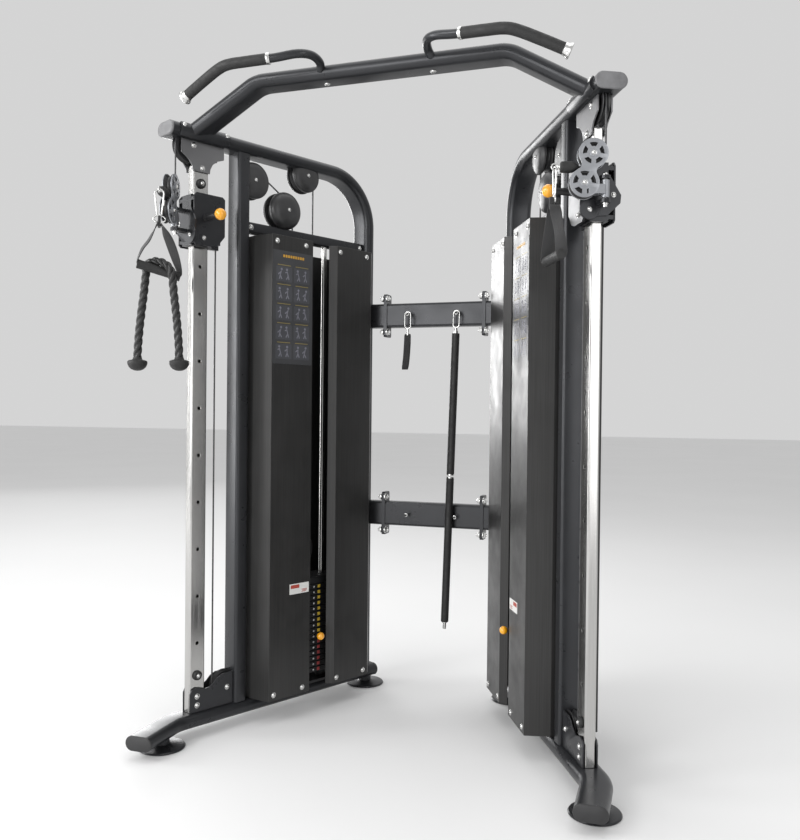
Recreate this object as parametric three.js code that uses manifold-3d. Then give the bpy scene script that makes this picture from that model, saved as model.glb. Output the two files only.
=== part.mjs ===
// Functional trainer: two upright weight-stack towers set in a V, joined by two crossbeams and a
// pull-up bar. Millimetres, +Z up, -Y to the front, +X to the user's right when seen from the front.
//
// Each tower is drawn in its own frame and then placed: X runs from the rear post to the front post,
// Y points inwards, to the middle of the machine, and Z is up. The right tower is the left one mirrored.
import * as THREE from 'three';
import { mergeVertices } from 'three/addons/utils/BufferGeometryUtils.js';
import Module from 'manifold-3d';

const wasm = await Module();
wasm.setup();

// ---------------------------------------------------------------- driving dimensions
const GAP = 0.3; // between touching pieces
const WALL = 3; // tube wall
const SHEET = 3; // cover sheet and small plates
const PLATE = 5; // bracket plates

const TOWER_ANGLE = THREE.MathUtils.degToRad(26.5); // between a tower's plane and straight ahead
const TOWER_X = 319; // tower frame's origin from the middle plane

const OVAL_WIDE = 96; // flat-oval frame tube
const OVAL_THIN = 48;
const BASE_Z = 60; // centre height of the base tube
const BASE_TOP = BASE_Z + OVAL_THIN / 2;
const RAIL_Z = 2090; // centre height of the top rail
const RAIL_UNDER = RAIL_Z - OVAL_THIN / 2;
const RAIL_FRONT = 925;
const REAR_POST = 10; // centre of the rear post along the tower
const HOOP_RADIUS = 195; // bend from rear post to top rail
const TOE_BEND = 150; // bend that turns the base tube's toe straight ahead
const TOE_START = 850;
const TOE_LENGTH = 155;
const TOE_FOOT = 24; // toe's disc foot, from the end of the bend

const FRONT_POST = { from: 605, to: 655, half: 37 };
const MID_RAIL = { under: 1790, top: 1828, half: 20 };
const CHROME = { from: 768, to: 831, half: 17.5, top: 1986 };
const HOLE_PITCH = 164;
const HOLE_TOP = 1801;
const HOLE_COUNT = 10;
const HOLE_S = 800;

const CABLE = 3; // cable radius
const GROOVE = 50; // cable centre line around a frame pulley
const RIM = 57; // frame pulley rim radius
const BORE = 5.7;
const AXLE = 5;
const TOP_PULLEY = { s: 840, z: 2046 };
const CROWN_PULLEY = { s: 335, z: 2046, dome: 62, depth: 36 };
const GUIDE_PULLEY = { s: 435, z: 1895, dome: 70, depth: 46 };
const ENTRY_PULLEY = { s: 578, z: 1981, dome: 66, depth: 33 };
const BASE_PULLEY = { s: 678, z: 147 };
const FLOATING_PULLEY = { s: 335, z: 602 };

const STACK = { s: 335, halfLong: 150, halfWide: 55, bottom: 125, pitch: 21.5, plates: 16, head: 28 };
const ROD = { spacing: 110, radius: 11, top: MID_RAIL.under - GAP };
const COVER = { bottom: 88, top: 1775 };

const SWIVEL_S = 890; // vertical swivel axis, on the cable's line
const YOKE_GROOVE = 37;
const YOKE_RIM = 42;
const YOKE_UPPER = { u: YOKE_GROOVE, z: 1890 };
const YOKE_LOWER = { u: 62, z: 1805 };
const PULL_Z = YOKE_UPPER.z - YOKE_GROOVE; // height at which the cable leaves the swivel
const EYE_U = 146; // eye of the cable stop, from the swivel axis
const GRIP_DROP = 262; // eye to grip centre
const GRIP_OVER = 29; // grip centre to the middle of the rope lying over it
const STRAP_TOP = -101;
const CARRIAGE = { bottom: 1705, top: 1885 };

const SIDES = {
  left: { swivelDeg: 40, gripDeg: 151, tiltDeg: 15, pinPlate: 7 },
  right: { swivelDeg: 100, gripDeg: 0, tiltDeg: 0, pinPlate: 11 },
};

const BEAM = {
  y: -45, halfDeep: 25, halfTall: 48, end: 287, joint: 203, upper: 1529, lower: 728.5, pinX: 100,
};
const PULLUP = { y: -743, midZ: 2236, endZ: 2108, atX: 640, bendX: 425, endX: 700, radius: 110 };

// ---------------------------------------------------------------- materials
const material = (color, roughness, metalness) =>
  new THREE.MeshStandardMaterial({ color, roughness, metalness });
const FRAME = material(0x35363a, 0.45, 0.3);
const COVER_PAINT = material(0x3c3c3f, 0.5, 0.3);
const CHROMED = material(0xc9c9c4, 0.15, 1);
const STEEL = material(0x8b8c90, 0.35, 0.9);
const BLACK_PLASTIC = material(0x1c1c1e, 0.5, 0);
const AMBER = material(0xf0a818, 0.3, 0);
const RUBBER = material(0x161616, 0.8, 0);
const CABLE_BLACK = material(0x101010, 0.4, 0);
const IRON = material(0x202124, 0.6, 0.4);
const NYLON = material(0x151517, 0.9, 0);

// ---------------------------------------------------------------- geometry helpers
function solid(geometry) {
  const plain = geometry.clone();
  plain.deleteAttribute('normal');
  plain.deleteAttribute('uv');
  const merged = mergeVertices(plain, 1e-3);
  const mesh = new wasm.Mesh({
    numProp: 3,
    vertProperties: Float32Array.from(merged.attributes.position.array),
    triVerts: Uint32Array.from(merged.index.array),
  });
  return new wasm.Manifold(mesh);
}

function join(...geometries) {
  return geometries.map(solid).reduce((whole, piece) => whole.add(piece));
}

function cut(whole, ...geometries) {
  return geometries.map(solid).reduce((rest, tool) => rest.subtract(tool), whole);
}

function surface(manifold) {
  const { vertProperties, triVerts } = manifold.getMesh();
  const geometry = new THREE.BufferGeometry();
  geometry.setAttribute('position', new THREE.BufferAttribute(Float32Array.from(vertProperties), 3));
  geometry.setIndex(new THREE.BufferAttribute(Uint32Array.from(triVerts), 1));
  geometry.computeVertexNormals();
  return geometry;
}

function block(x0, x1, y0, y1, z0, z1) {
  const box = new THREE.BoxGeometry(x1 - x0, y1 - y0, z1 - z0);
  return box.translate((x0 + x1) / 2, (y0 + y1) / 2, (z0 + z1) / 2);
}

// A cylinder between two heights on the vertical axis, or laid along Y by layAlongY.
function rod(radius, from, to, sides = 12) {
  const cylinder = new THREE.CylinderGeometry(radius, radius, to - from, sides);
  return cylinder.rotateX(Math.PI / 2).translate(0, 0, (from + to) / 2);
}

function layAlongY(geometry) {
  return geometry.rotateX(-Math.PI / 2);
}

function pin(radius, s, z, from, to, sides = 12) {
  return layAlongY(rod(radius, from, to, sides)).translate(s, 0, z);
}

// A turned shape from [radius, height] pairs, about the vertical axis.
function turned(profile, sides = 12) {
  const points = profile.map(([radius, height]) => new THREE.Vector2(radius, height));
  return new THREE.LatheGeometry(points, sides).rotateX(Math.PI / 2);
}

function polygon(points) {
  return new THREE.Shape(points.map(([x, y]) => new THREE.Vector2(x, y)));
}

// A plate whose outline is drawn in the X-Z plane, between two values of Y.
function uprightPlate(shape, from, to) {
  const plate = new THREE.ExtrudeGeometry(shape, { depth: to - from, bevelEnabled: false });
  return plate.rotateX(Math.PI / 2).translate(0, to, 0);
}

function levelPlate(shape, from, to) {
  const plate = new THREE.ExtrudeGeometry(shape, { depth: to - from, bevelEnabled: false });
  return plate.translate(0, 0, from);
}

function roundedRect(width, height, radius, steps = 3) {
  const corners = [[1, 1], [-1, 1], [-1, -1], [1, -1]];
  const points = corners.flatMap(([right, up], corner) =>
    Array.from({ length: steps + 1 }, (_, i) => {
      const angle = (Math.PI / 2) * (corner + i / steps);
      return [
        right * (width / 2 - radius) + radius * Math.cos(angle),
        up * (height / 2 - radius) + radius * Math.sin(angle),
      ];
    }));
  return polygon(points);
}

function circle(radius, sides = 8) {
  return polygon(Array.from({ length: sides }, (_, i) => {
    const angle = (2 * Math.PI * i) / sides;
    return [radius * Math.cos(angle), radius * Math.sin(angle)];
  }));
}

function tubeSection(width, height, radius, wall, steps = 3) {
  const shape = roundedRect(width, height, radius, steps);
  const inner = Math.max(radius - wall, 0.5);
  shape.holes.push(roundedRect(width - 2 * wall, height - 2 * wall, inner, Math.min(steps, 2)));
  return shape;
}

// A route through given stations, so a sweep has a ring at each of them and none between.
class Route extends THREE.Curve {
  constructor(stations) {
    super();
    this.stations = stations;
  }

  getSpacedPoints() {
    return this.stations.map((station) => station.clone());
  }

  getTangentAt(share) {
    const last = this.stations.length - 1;
    const index = Math.round(share * last);
    const before = this.stations[Math.max(index - 1, 0)];
    const after = this.stations[Math.min(index + 1, last)];
    const here = this.stations[index];
    const arriving = here.clone().sub(before).normalize();
    const leaving = after.clone().sub(here).normalize();
    return arriving.add(leaving).normalize();
  }
}

function sweep(section, stations) {
  const extrudePath = new Route(stations);
  return new THREE.ExtrudeGeometry(section, { steps: stations.length - 1, extrudePath });
}

const inTowerPlane = (s, z) => new THREE.Vector3(s, 0, z);

// Stations round an arc in the tower's plane, angles in degrees from the front, positive upwards.
function arc(centre, radius, fromDeg, toDeg, steps) {
  return Array.from({ length: steps + 1 }, (_, i) => {
    const angle = THREE.MathUtils.degToRad(fromDeg + ((toDeg - fromDeg) * i) / steps);
    return inTowerPlane(centre.s + radius * Math.cos(angle), centre.z + radius * Math.sin(angle));
  });
}

// A strip of sheet metal bent along a plan outline: the outline, thickened to its right-hand side.
function bentStrip(outline, thickness) {
  const points = outline.map(([x, y]) => new THREE.Vector2(x, y));
  const sideOf = (a, b) => new THREE.Vector2(b.y - a.y, a.x - b.x).normalize();
  const inner = points.map((point, i) => {
    const before = i > 0 ? sideOf(points[i - 1], point) : sideOf(point, points[i + 1]);
    const after = i < points.length - 1 ? sideOf(point, points[i + 1]) : before;
    const middle = before.clone().add(after).normalize();
    return point.clone().addScaledVector(middle, thickness / middle.dot(before));
  });
  return new THREE.Shape([...points, ...inner.reverse()]);
}

function named(name, shape, look) {
  const mesh = new THREE.Mesh(shape.isBufferGeometry ? shape : surface(shape), look);
  mesh.name = name;
  return mesh;
}

// ---------------------------------------------------------------- frame of one tower
const oval = () => tubeSection(OVAL_WIDE, OVAL_THIN, OVAL_THIN / 2 - 0.01, WALL);

function baseTube() {
  const stations = [new THREE.Vector3(-45, 0, BASE_Z), new THREE.Vector3(TOE_START, 0, BASE_Z)];
  const steps = 4;
  for (let i = 1; i <= steps; i += 1) {
    const turn = (TOWER_ANGLE * i) / steps;
    const s = TOE_START + TOE_BEND * Math.sin(turn);
    stations.push(new THREE.Vector3(s, TOE_BEND * (1 - Math.cos(turn)), BASE_Z));
  }
  const bendEnd = stations[stations.length - 1];
  const ahead = new THREE.Vector3(Math.cos(TOWER_ANGLE), Math.sin(TOWER_ANGLE), 0);
  stations.push(bendEnd.clone().addScaledVector(ahead, TOE_LENGTH));
  const section = tubeSection(OVAL_THIN, OVAL_WIDE, OVAL_THIN / 2 - 0.01, WALL);
  const toe = bendEnd.clone().addScaledVector(ahead, TOE_FOOT);
  const foot = () => turned([[0, 0], [77, 0], [77, 5], [24, 14], [24, 40], [0, 40]], 14);
  return join(
    sweep(section, stations),
    foot().translate(toe.x, toe.y, 0),
    foot().translate(-22, 0, 0),
  );
}

// A pair of ears with an axle and a domed cover outside each ear, for a pulley held by the frame.
function pulleyHousing({ s, z, dome, depth }) {
  const ear = 16;
  const cover = [[0, ear - 1], [dome, ear - 1], [dome, ear + 2], [dome * 0.55, depth], [0, depth]];
  return [
    layAlongY(turned(cover)).translate(s, 0, z),
    layAlongY(turned(cover)).rotateZ(Math.PI).translate(s, 0, z),
    pin(AXLE, s, z, -ear, ear, 8),
  ];
}

function ears(s, z, s0, s1, z0, z1) {
  return [block(s0, s1, 12.7, 16, z0, z1), block(s0, s1, -16, -12.7, z0, z1)];
}

function bentRail() {
  const hoop = { s: REAR_POST + HOOP_RADIUS, z: RAIL_Z - HOOP_RADIUS };
  const stations = [
    inTowerPlane(REAR_POST, BASE_TOP + GAP),
    ...arc(hoop, HOOP_RADIUS, 180, 90, 5),
    inTowerPlane(RAIL_FRONT, RAIL_Z),
  ];
  const { s, z } = CROWN_PULLEY;
  const tube = cut(
    join(sweep(oval(), stations)),
    block(s - RIM - 6, s + RIM + 6, -12.7, 12.7, RAIL_UNDER - 2, RAIL_Z),
    block(TOP_PULLEY.s - RIM - 4, TOP_PULLEY.s + RIM + 4, -15, 15, RAIL_UNDER - 2, RAIL_Z),
  );
  const hanger = join(
    ...pulleyHousing(CROWN_PULLEY),
    ...ears(s, z, s - 18, s + 18, z - 14, RAIL_UNDER + 1.5),
  );
  const bore = sweep(roundedRect(OVAL_THIN - 8, OVAL_WIDE - 8, OVAL_THIN / 2 - 4.01), [
    inTowerPlane(REAR_POST + HOOP_RADIUS, RAIL_Z),
    inTowerPlane(RAIL_FRONT, RAIL_Z),
  ]);
  return tube.add(cut(hanger, bore)).add(join(pin(AXLE, s, z, -14, 14, 8)));
}

function frontPost() {
  const { from, to, half } = FRONT_POST;
  const middle = (from + to) / 2;
  const section = tubeSection(2 * half, to - from, 10, WALL, 2);
  const post = sweep(section, [inTowerPlane(middle, BASE_TOP + GAP), inTowerPlane(middle, RAIL_UNDER - GAP)]);
  const midZ = (MID_RAIL.under + MID_RAIL.top) / 2;
  const midSection = tubeSection(MID_RAIL.top - MID_RAIL.under, 2 * MID_RAIL.half, 5, WALL, 1);
  const midRail = sweep(midSection, [
    inTowerPlane(REAR_POST + OVAL_THIN / 2 + GAP, midZ),
    inTowerPlane(from + 1, midZ),
  ]);
  const slotted = cut(
    join(post, midRail),
    rod(9, MID_RAIL.under - 1, MID_RAIL.top + 1, 8).translate(CROWN_PULLEY.s - GROOVE, 0, 0),
    rod(9, MID_RAIL.under - 1, MID_RAIL.top + 1, 8).translate(GUIDE_PULLEY.s - GROOVE, 0, 0),
    block(to - WALL - 1, to + 1, -15, 15, BASE_TOP, BASE_PULLEY.z + RIM + 6),
    block(from - 1, from + WALL + 1, -12.7, 12.7, ENTRY_PULLEY.z - RIM - 4, ENTRY_PULLEY.z + RIM + 4),
  );
  const entry = join(
    ...pulleyHousing(ENTRY_PULLEY),
    ...ears(0, 0, ENTRY_PULLEY.s - 12, from + 1, ENTRY_PULLEY.z - 20, ENTRY_PULLEY.z + 20),
  );
  const guide = join(
    ...pulleyHousing(GUIDE_PULLEY),
    ...ears(0, 0, GUIDE_PULLEY.s - 16, GUIDE_PULLEY.s + 16, MID_RAIL.top - 1, GUIDE_PULLEY.z + 14),
  );
  return slotted.add(entry).add(guide);
}

function adjustRail() {
  const { from, to, half, top } = CHROME;
  const middle = (from + to) / 2;
  const section = tubeSection(2 * half, to - from, 5, WALL, 1);
  const rail = join(sweep(section, [inTowerPlane(middle, BASE_TOP + GAP), inTowerPlane(middle, top)]));
  const holes = Array.from({ length: HOLE_COUNT }, (_, i) =>
    pin(7, HOLE_S, HOLE_TOP - HOLE_PITCH * i, half - WALL - 2, half + 2, 6));
  return cut(rail, ...holes);
}

// ---------------------------------------------------------------- brackets and covers
function bracket(outline, pulley, spacer) {
  const face = CHROME.half + 1.5;
  const shape = () => polygon(outline);
  return join(
    uprightPlate(shape(), face, face + PLATE),
    uprightPlate(shape(), -face - PLATE, -face),
    pin(AXLE, pulley.s, pulley.z, -face - 1, face + 1, 8),
    pin(6, spacer.s, spacer.z, -face - 1, face + 1, 8),
  );
}

function topBracket() {
  const under = RAIL_UNDER - GAP;
  const outline = [
    [711, under], [711, 2024], [738, 2014], [757, 1998], [766, 1980], [768, 1964],
    [835, 1964], [838, 1980], [849, 1996], [881, 2019], [881, under],
  ];
  return bracket(outline, TOP_PULLEY, { s: 728, z: 2046 });
}

function baseBracket() {
  const rear = FRONT_POST.to + GAP;
  const floor = BASE_TOP + GAP;
  const outline = [
    [rear, floor], [831, floor], [831, 152], [824, 165], [806, 171], [786, 166], [769, 160],
    [752, 162], [737, 172], [722, 187], [700, 197], [rear, 199],
  ];
  return bracket(outline, BASE_PULLEY, { s: 752, z: 98 });
}

function rearCover() {
  const outline = [
    [285, 102], [262, 126], [85, 126], [60, 102], [60, -102], [85, -126], [262, -126], [285, -102],
  ];
  return levelPlate(bentStrip([...outline].reverse(), SHEET), COVER.bottom, COVER.top);
}

function frontCover() {
  const outline = [[384, 126], [571, 126], [592, 43], [592, -43], [571, -126], [384, -126]];
  return levelPlate(bentStrip(outline, SHEET), COVER.bottom, COVER.top);
}

// ---------------------------------------------------------------- pulleys and cable
function pulleyWheel(rim, groove, bore = BORE) {
  const root = groove - CABLE - 1;
  const profile = [
    [bore, -11], [rim, -11], [root, -2.5], [root, 2.5], [rim, 11], [bore, 11], [bore, -11],
  ];
  return layAlongY(turned(profile));
}

function mainCable() {
  const tangent = Math.atan2(ENTRY_PULLEY.z - GUIDE_PULLEY.z, ENTRY_PULLEY.s - GUIDE_PULLEY.s);
  const over = 90 + THREE.MathUtils.radToDeg(tangent);
  const stations = [
    ...arc(TOP_PULLEY, GROOVE, 0, 90, 5),
    ...arc(CROWN_PULLEY, GROOVE, 90, 180, 5),
    ...arc(FLOATING_PULLEY, GROOVE, 180, 360, 10),
    ...arc(GUIDE_PULLEY, GROOVE, 180, over, 3),
    ...arc(ENTRY_PULLEY, GROOVE, over, 0, 6),
    ...arc(BASE_PULLEY, GROOVE, 180, 360, 10),
  ];
  return sweep(circle(CABLE, 6), stations);
}

// From the top pulley down the swivel axis, then round the upper yoke pulley to the pull direction.
function upperDrop(swivelAngle) {
  const ahead = new THREE.Vector3(Math.cos(swivelAngle), Math.sin(swivelAngle), 0);
  const stations = [inTowerPlane(SWIVEL_S, TOP_PULLEY.z - 1.5)];
  const steps = 4;
  for (let i = 0; i <= steps; i += 1) {
    const turn = (Math.PI / 2 / steps) * i;
    const reach = YOKE_GROOVE * (1 - Math.cos(turn));
    const drop = YOKE_UPPER.z - YOKE_GROOVE * Math.sin(turn);
    stations.push(inTowerPlane(SWIVEL_S, drop).addScaledVector(ahead, reach));
  }
  return sweep(circle(CABLE, 6), stations);
}

function lowerDrop() {
  const s = BASE_PULLEY.s + GROOVE;
  return sweep(circle(CABLE, 6), [
    inTowerPlane(s, BASE_PULLEY.z + 1.5),
    inTowerPlane(s, CARRIAGE.bottom - GAP),
  ]);
}

// ---------------------------------------------------------------- weight stack
function plateBlock(from, to) {
  const { s, halfLong, halfWide } = STACK;
  return block(s - halfLong, s + halfLong, -halfWide, halfWide, from, to);
}

function restingStack(pinPlate) {
  const { s, bottom, pitch } = STACK;
  const rods = [s - ROD.spacing, s + ROD.spacing];
  const body = join(
    plateBlock(BASE_TOP + GAP, 94),
    plateBlock(bottom, bottom + pitch * pinPlate - GAP),
    ...rods.map((at) => rod(22, 93, bottom + 1, 10).translate(at, 0, 0)),
    ...rods.map((at) => rod(ROD.radius, 93, ROD.top, 10).translate(at, 0, 0)),
  );
  return cut(body, rod(14, 90, 400, 10).translate(s, 0, 0));
}

function liftedStack(pinPlate) {
  const { s, bottom, pitch, plates, head } = STACK;
  const from = bottom + pitch * pinPlate;
  const top = bottom + pitch * plates + head;
  const body = join(
    plateBlock(from, top),
    rod(10, bottom + 6, from + 1, 10).translate(s, 0, 0),
    block(s - 20, s + 20, 13, 17, top - 1, FLOATING_PULLEY.z + 20),
    block(s - 20, s + 20, -17, -13, top - 1, FLOATING_PULLEY.z + 20),
    pin(AXLE, FLOATING_PULLEY.s, FLOATING_PULLEY.z, -14, 14, 8),
  );
  return cut(
    body,
    rod(13, from - 1, top + 1, 10).translate(s - ROD.spacing, 0, 0),
    rod(13, from - 1, top + 1, 10).translate(s + ROD.spacing, 0, 0),
    pin(6.5, s, from + pitch / 2, -6, 60, 10),
  );
}

function knobPin(stem, from, collarFrom, ballAt, ballRadius) {
  const near = ballAt - ballRadius;
  const profile = [
    [0, from], [stem, from], [stem, collarFrom], [8, collarFrom], [8, near + 2],
    [ballRadius * 0.8, near + 5], [ballRadius, ballAt], [ballRadius * 0.75, ballAt + ballRadius * 0.7],
    [0, ballAt + ballRadius],
  ];
  return layAlongY(turned(profile, 12));
}

// ---------------------------------------------------------------- carriage and swivel
function carriage() {
  const { bottom, top } = CARRIAGE;
  const shield = () => polygon([
    [722, bottom + 42], [722, top - 8], [732, top], [836, top], [846, top - 12], [846, bottom + 8],
    [838, bottom], [776, bottom], [750, bottom + 8],
  ]);
  const facePlate = [
    [0, 1722], [-24, 1724], [-64, 1762], [-66, 1786], [-34, 1838], [34, 1838], [60, 1790], [62, 1741],
    [53, 1719], [31, 1710], [9, 1719],
  ];
  const front = levelPlate(polygon(facePlate), 0, 6).rotateX(Math.PI / 2).rotateZ(Math.PI / 2);
  const rib = (from, to) => block(738, 845, -46, 46, from, to);
  const lug = (from, to) => [
    block(844, SWIVEL_S, -14, 14, from, to),
    rod(15, from, to).translate(SWIVEL_S, 0, 0),
  ];
  const body = join(
    uprightPlate(shield(), 45, 50),
    uprightPlate(shield(), -50, -45),
    front.translate(844, 0, 0),
    block(758, 845, -28, 28, bottom + 2, top - 4),
    rib(bottom + 10, bottom + 22),
    rib(top - 26, top - 14),
    block(721, 760, -9, 9, bottom, bottom + 24),
    ...lug(1750, 1761),
    ...lug(1819, 1829),
    pin(11, HOLE_S, HOLE_TOP, 27, 62, 12),
  );
  return cut(
    body,
    block(CHROME.from - 1.5, CHROME.to + 1.5, -19, 19, bottom - 10, top + 10),
    pin(6.8, HOLE_S, HOLE_TOP, 10, 70, 10),
    rod(7.4, 1740, 1840, 10).translate(SWIVEL_S, 0, 0),
  );
}

// The yoke is drawn with X along the pull and its origin on the swivel axis.
function yoke() {
  const disc = (pulley) => layAlongY(rod(43, 13, 16, 14)).translate(pulley.u, 0, pulley.z);
  const cheek = () => [
    disc(YOKE_UPPER),
    disc(YOKE_LOWER),
    block(30, 70, 13, 16, 1830, 1862),
    block(4, 50, 13, 16, 1772, 1802),
  ];
  const far = cheek().map((geometry) => geometry.translate(0, -29, 0));
  return join(
    ...cheek(),
    ...far,
    block(2, 17, -16, 16, 1774, 1800),
    rod(12, 1764, 1816).translate(0, 0, 0),
    rod(6.4, 1740, 1836, 10),
    pin(AXLE, YOKE_UPPER.u, YOKE_UPPER.z, -14, 14, 8),
    pin(AXLE, YOKE_LOWER.u, YOKE_LOWER.z, -14, 14, 8),
  );
}

// Cable end: the last of the cable, a tapered stop and the eye that the handle hangs from.
function cableStop() {
  const stop = turned([[0, 78], [6, 78], [16, 93], [16.5, 98], [16.5, 128], [10, 132], [0, 132]], 12);
  const along = (geometry) => geometry.rotateY(Math.PI / 2);
  const ring = circle(11);
  ring.holes.push(circle(7, 6));
  return join(
    along(stop),
    along(rod(CABLE, YOKE_GROOVE + 1.5, 80, 8)),
    along(rod(4, 130, EYE_U - 8, 8)),
    uprightPlate(ring, -2.5, 2.5).translate(EYE_U, 0, 0),
  ).translate([0, 0, PULL_Z]);
}

// ---------------------------------------------------------------- stirrup handle and rope
// A spring clip as a flat ring in the X-Z plane, hung by its upper bow from the origin.
function clip(width, height, bar, hang) {
  const ring = roundedRect(width, height, width / 2 - 0.01, 2);
  ring.holes.push(roundedRect(width - 2 * bar, height - 2 * bar, width / 2 - bar - 0.01, 2));
  return uprightPlate(ring, -bar / 2, bar / 2).translate(0, 0, hang - height / 2);
}

// Drawn hanging from the eye at the origin, with the grip along X.
function handle(tilt) {
  const along = (geometry) => geometry.rotateY(Math.PI / 2);
  const dee = circle(13);
  dee.holes.push(circle(8.5, 6));
  const deeRing = uprightPlate(dee, -2.5, 2.5).rotateZ(Math.PI / 2).translate(0, 0, STRAP_TOP + 7);
  const drop = -GRIP_DROP;
  const foot = (x, lift) => [x, drop - x * Math.tan(tilt) + lift];
  const strap = polygon([foot(-66, 0), [-16, STRAP_TOP], [16, STRAP_TOP], foot(66, 0)]);
  strap.holes.push(polygon([foot(-59, 3), foot(59, 3), [13, STRAP_TOP - 6], [-13, STRAP_TOP - 6]]));
  const grip = along(turned([[0, -70], [15, -70], [15, 70], [0, 70]], 12)).rotateY(tilt);
  return join(
    clip(34, 90, 5, 2.5),
    deeRing,
    uprightPlate(strap, -15, 15),
    grip.translate(0, 0, drop),
  );
}

// The rope lies over the grip; its route is the same from the grip down to either end.
const ROPE_TAIL = [[42, -30, -290], [47, -30, -340], [54, -30, -400], [60, -30, -460], [64, -30, -520],
  [65, -30, -566]];

function ropeRoute(tilt) {
  const wrap = [[0, 0], [16, 25], [28, 50], [37, 75]].map(([x, degrees]) => {
    const turn = THREE.MathUtils.degToRad(degrees);
    return [x, -GRIP_OVER * Math.sin(turn), GRIP_OVER * Math.cos(turn) - GRIP_DROP];
  });
  const half = [...wrap, ...ROPE_TAIL];
  const other = half.slice(1).map(([x, y, z]) => [-x, -y, z]).reverse();
  const leanOver = ([x, y, z]) => new THREE.Vector3(x, y, z > -280 ? z - x * Math.tan(tilt) : z);
  return new THREE.CatmullRomCurve3([...other, ...half].map(leanOver));
}

function rope(tilt) {
  const body = join(sweep(circle(12.5, 6), ropeRoute(tilt).getPoints(26)));
  const end = () => turned([[0, -14], [24, -14], [32, 0], [16, 24], [0, 24]], 10);
  const [x, y, z] = ROPE_TAIL[ROPE_TAIL.length - 1];
  return body
    .add(solid(end().translate(x, y, z - 8)))
    .add(solid(end().translate(-x, -y, z - 8)));
}

function hung(mesh, { swivelDeg, gripDeg }) {
  const group = new THREE.Group();
  const swivel = THREE.MathUtils.degToRad(swivelDeg);
  group.position.set(SWIVEL_S + EYE_U * Math.cos(swivel), EYE_U * Math.sin(swivel), PULL_Z);
  group.rotation.z = THREE.MathUtils.degToRad(gripDeg);
  group.add(mesh);
  return group;
}

// ---------------------------------------------------------------- one tower
function tower(side) {
  const look = SIDES[side];
  const group = new THREE.Group();
  const add = (name, shape, finish) => {
    const mesh = named(`${name}_${side}`, shape, finish);
    group.add(mesh);
    return mesh;
  };
  add('base_tube', baseTube(), FRAME);
  add('rear_post_and_top_rail', bentRail(), FRAME);
  add('front_post', frontPost(), FRAME);
  add('adjust_rail', adjustRail(), CHROMED);
  add('top_bracket', topBracket(), STEEL);
  add('base_bracket', baseBracket(), FRAME);
  add('rear_cover', rearCover(), COVER_PAINT);
  add('front_cover', frontCover(), COVER_PAINT);
  add('resting_stack', restingStack(look.pinPlate), IRON);
  add('lifted_stack', liftedStack(look.pinPlate), IRON);
  const pinZ = STACK.bottom + STACK.pitch * (look.pinPlate + 0.5);
  add('selector_pin', knobPin(5.4, 0, 111, 132, 14.5), AMBER).position.set(STACK.s, 0, pinZ);
  const wheels = {
    top_pulley: TOP_PULLEY,
    crown_pulley: CROWN_PULLEY,
    guide_pulley: GUIDE_PULLEY,
    entry_pulley: ENTRY_PULLEY,
    base_pulley: BASE_PULLEY,
    floating_pulley: FLOATING_PULLEY,
  };
  Object.entries(wheels).forEach(([name, { s, z }]) => {
    add(name, pulleyWheel(RIM, GROOVE), BLACK_PLASTIC).position.set(s, 0, z);
  });
  add('main_cable', mainCable(), CABLE_BLACK);
  add('upper_cable', upperDrop(THREE.MathUtils.degToRad(look.swivelDeg)), CABLE_BLACK);
  add('lower_cable', lowerDrop(), CABLE_BLACK);
  add('carriage', carriage(), FRAME);
  add('pull_pin', knobPin(5.2, 18, 62.6, 140, 20), AMBER).position.set(HOLE_S, 0, HOLE_TOP);

  const swivel = new THREE.Group();
  swivel.position.set(SWIVEL_S, 0, 0);
  swivel.rotation.z = THREE.MathUtils.degToRad(look.swivelDeg);
  swivel.add(named(`yoke_${side}`, yoke(), STEEL));
  [['upper', YOKE_UPPER], ['lower', YOKE_LOWER]].forEach(([which, { u, z }]) => {
    const wheel = named(`yoke_pulley_${which}_${side}`, pulleyWheel(YOKE_RIM, YOKE_GROOVE), BLACK_PLASTIC);
    wheel.position.set(u, 0, z);
    swivel.add(wheel);
  });
  swivel.add(named(`cable_stop_${side}`, cableStop(), RUBBER));
  group.add(swivel);
  const tilt = THREE.MathUtils.degToRad(look.tiltDeg);
  group.add(hung(named(`handle_${side}`, handle(tilt), NYLON), look));
  return group;
}

function placed(towerGroup, mirror) {
  const outer = new THREE.Group();
  towerGroup.position.set(-TOWER_X, 0, 0);
  towerGroup.rotation.z = -Math.PI / 2 - TOWER_ANGLE;
  outer.add(towerGroup);
  outer.scale.x = mirror ? -1 : 1;
  return outer;
}

// ---------------------------------------------------------------- pieces between the towers
// A solid drawn in the left tower's frame, moved to the machine's frame.
function fromTower(geometry) {
  return geometry.rotateZ(-Math.PI / 2 - TOWER_ANGLE).translate(-TOWER_X, 0, 0);
}

function crossbeam(height, pinLength) {
  const { y, halfDeep, halfTall, joint, pinX, end } = BEAM;
  const alongX = (section, from, to) =>
    sweep(section, [new THREE.Vector3(from, y, height), new THREE.Vector3(to, y, height)]);
  const bore = () => roundedRect(2 * (halfTall - WALL), 2 * (halfDeep - WALL), 6, 1);
  const flange = (x) => {
    const plate = roundedRect(172, 58, 6, 1);
    plate.holes.push(bore());
    return alongX(plate, x - 7, x + 7);
  };
  const front = y - halfDeep;
  const hook = (x) => layAlongY(rod(5, front - pinLength, front + 2, 8)).translate(x, 0, height);
  const post = () => fromTower(levelPlate(
    roundedRect(OVAL_THIN + 2 * GAP, OVAL_WIDE + 2 * GAP, OVAL_THIN / 2 + GAP - 0.01), 0, RAIL_Z,
  ).translate(REAR_POST, 0, 0));
  const tube = alongX(tubeSection(2 * halfTall, 2 * halfDeep, 9, WALL, 2), -end, end);
  return trimmed(join(tube, flange(-joint), flange(joint), hook(-pinX), hook(pinX)), [post]);
}

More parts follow.
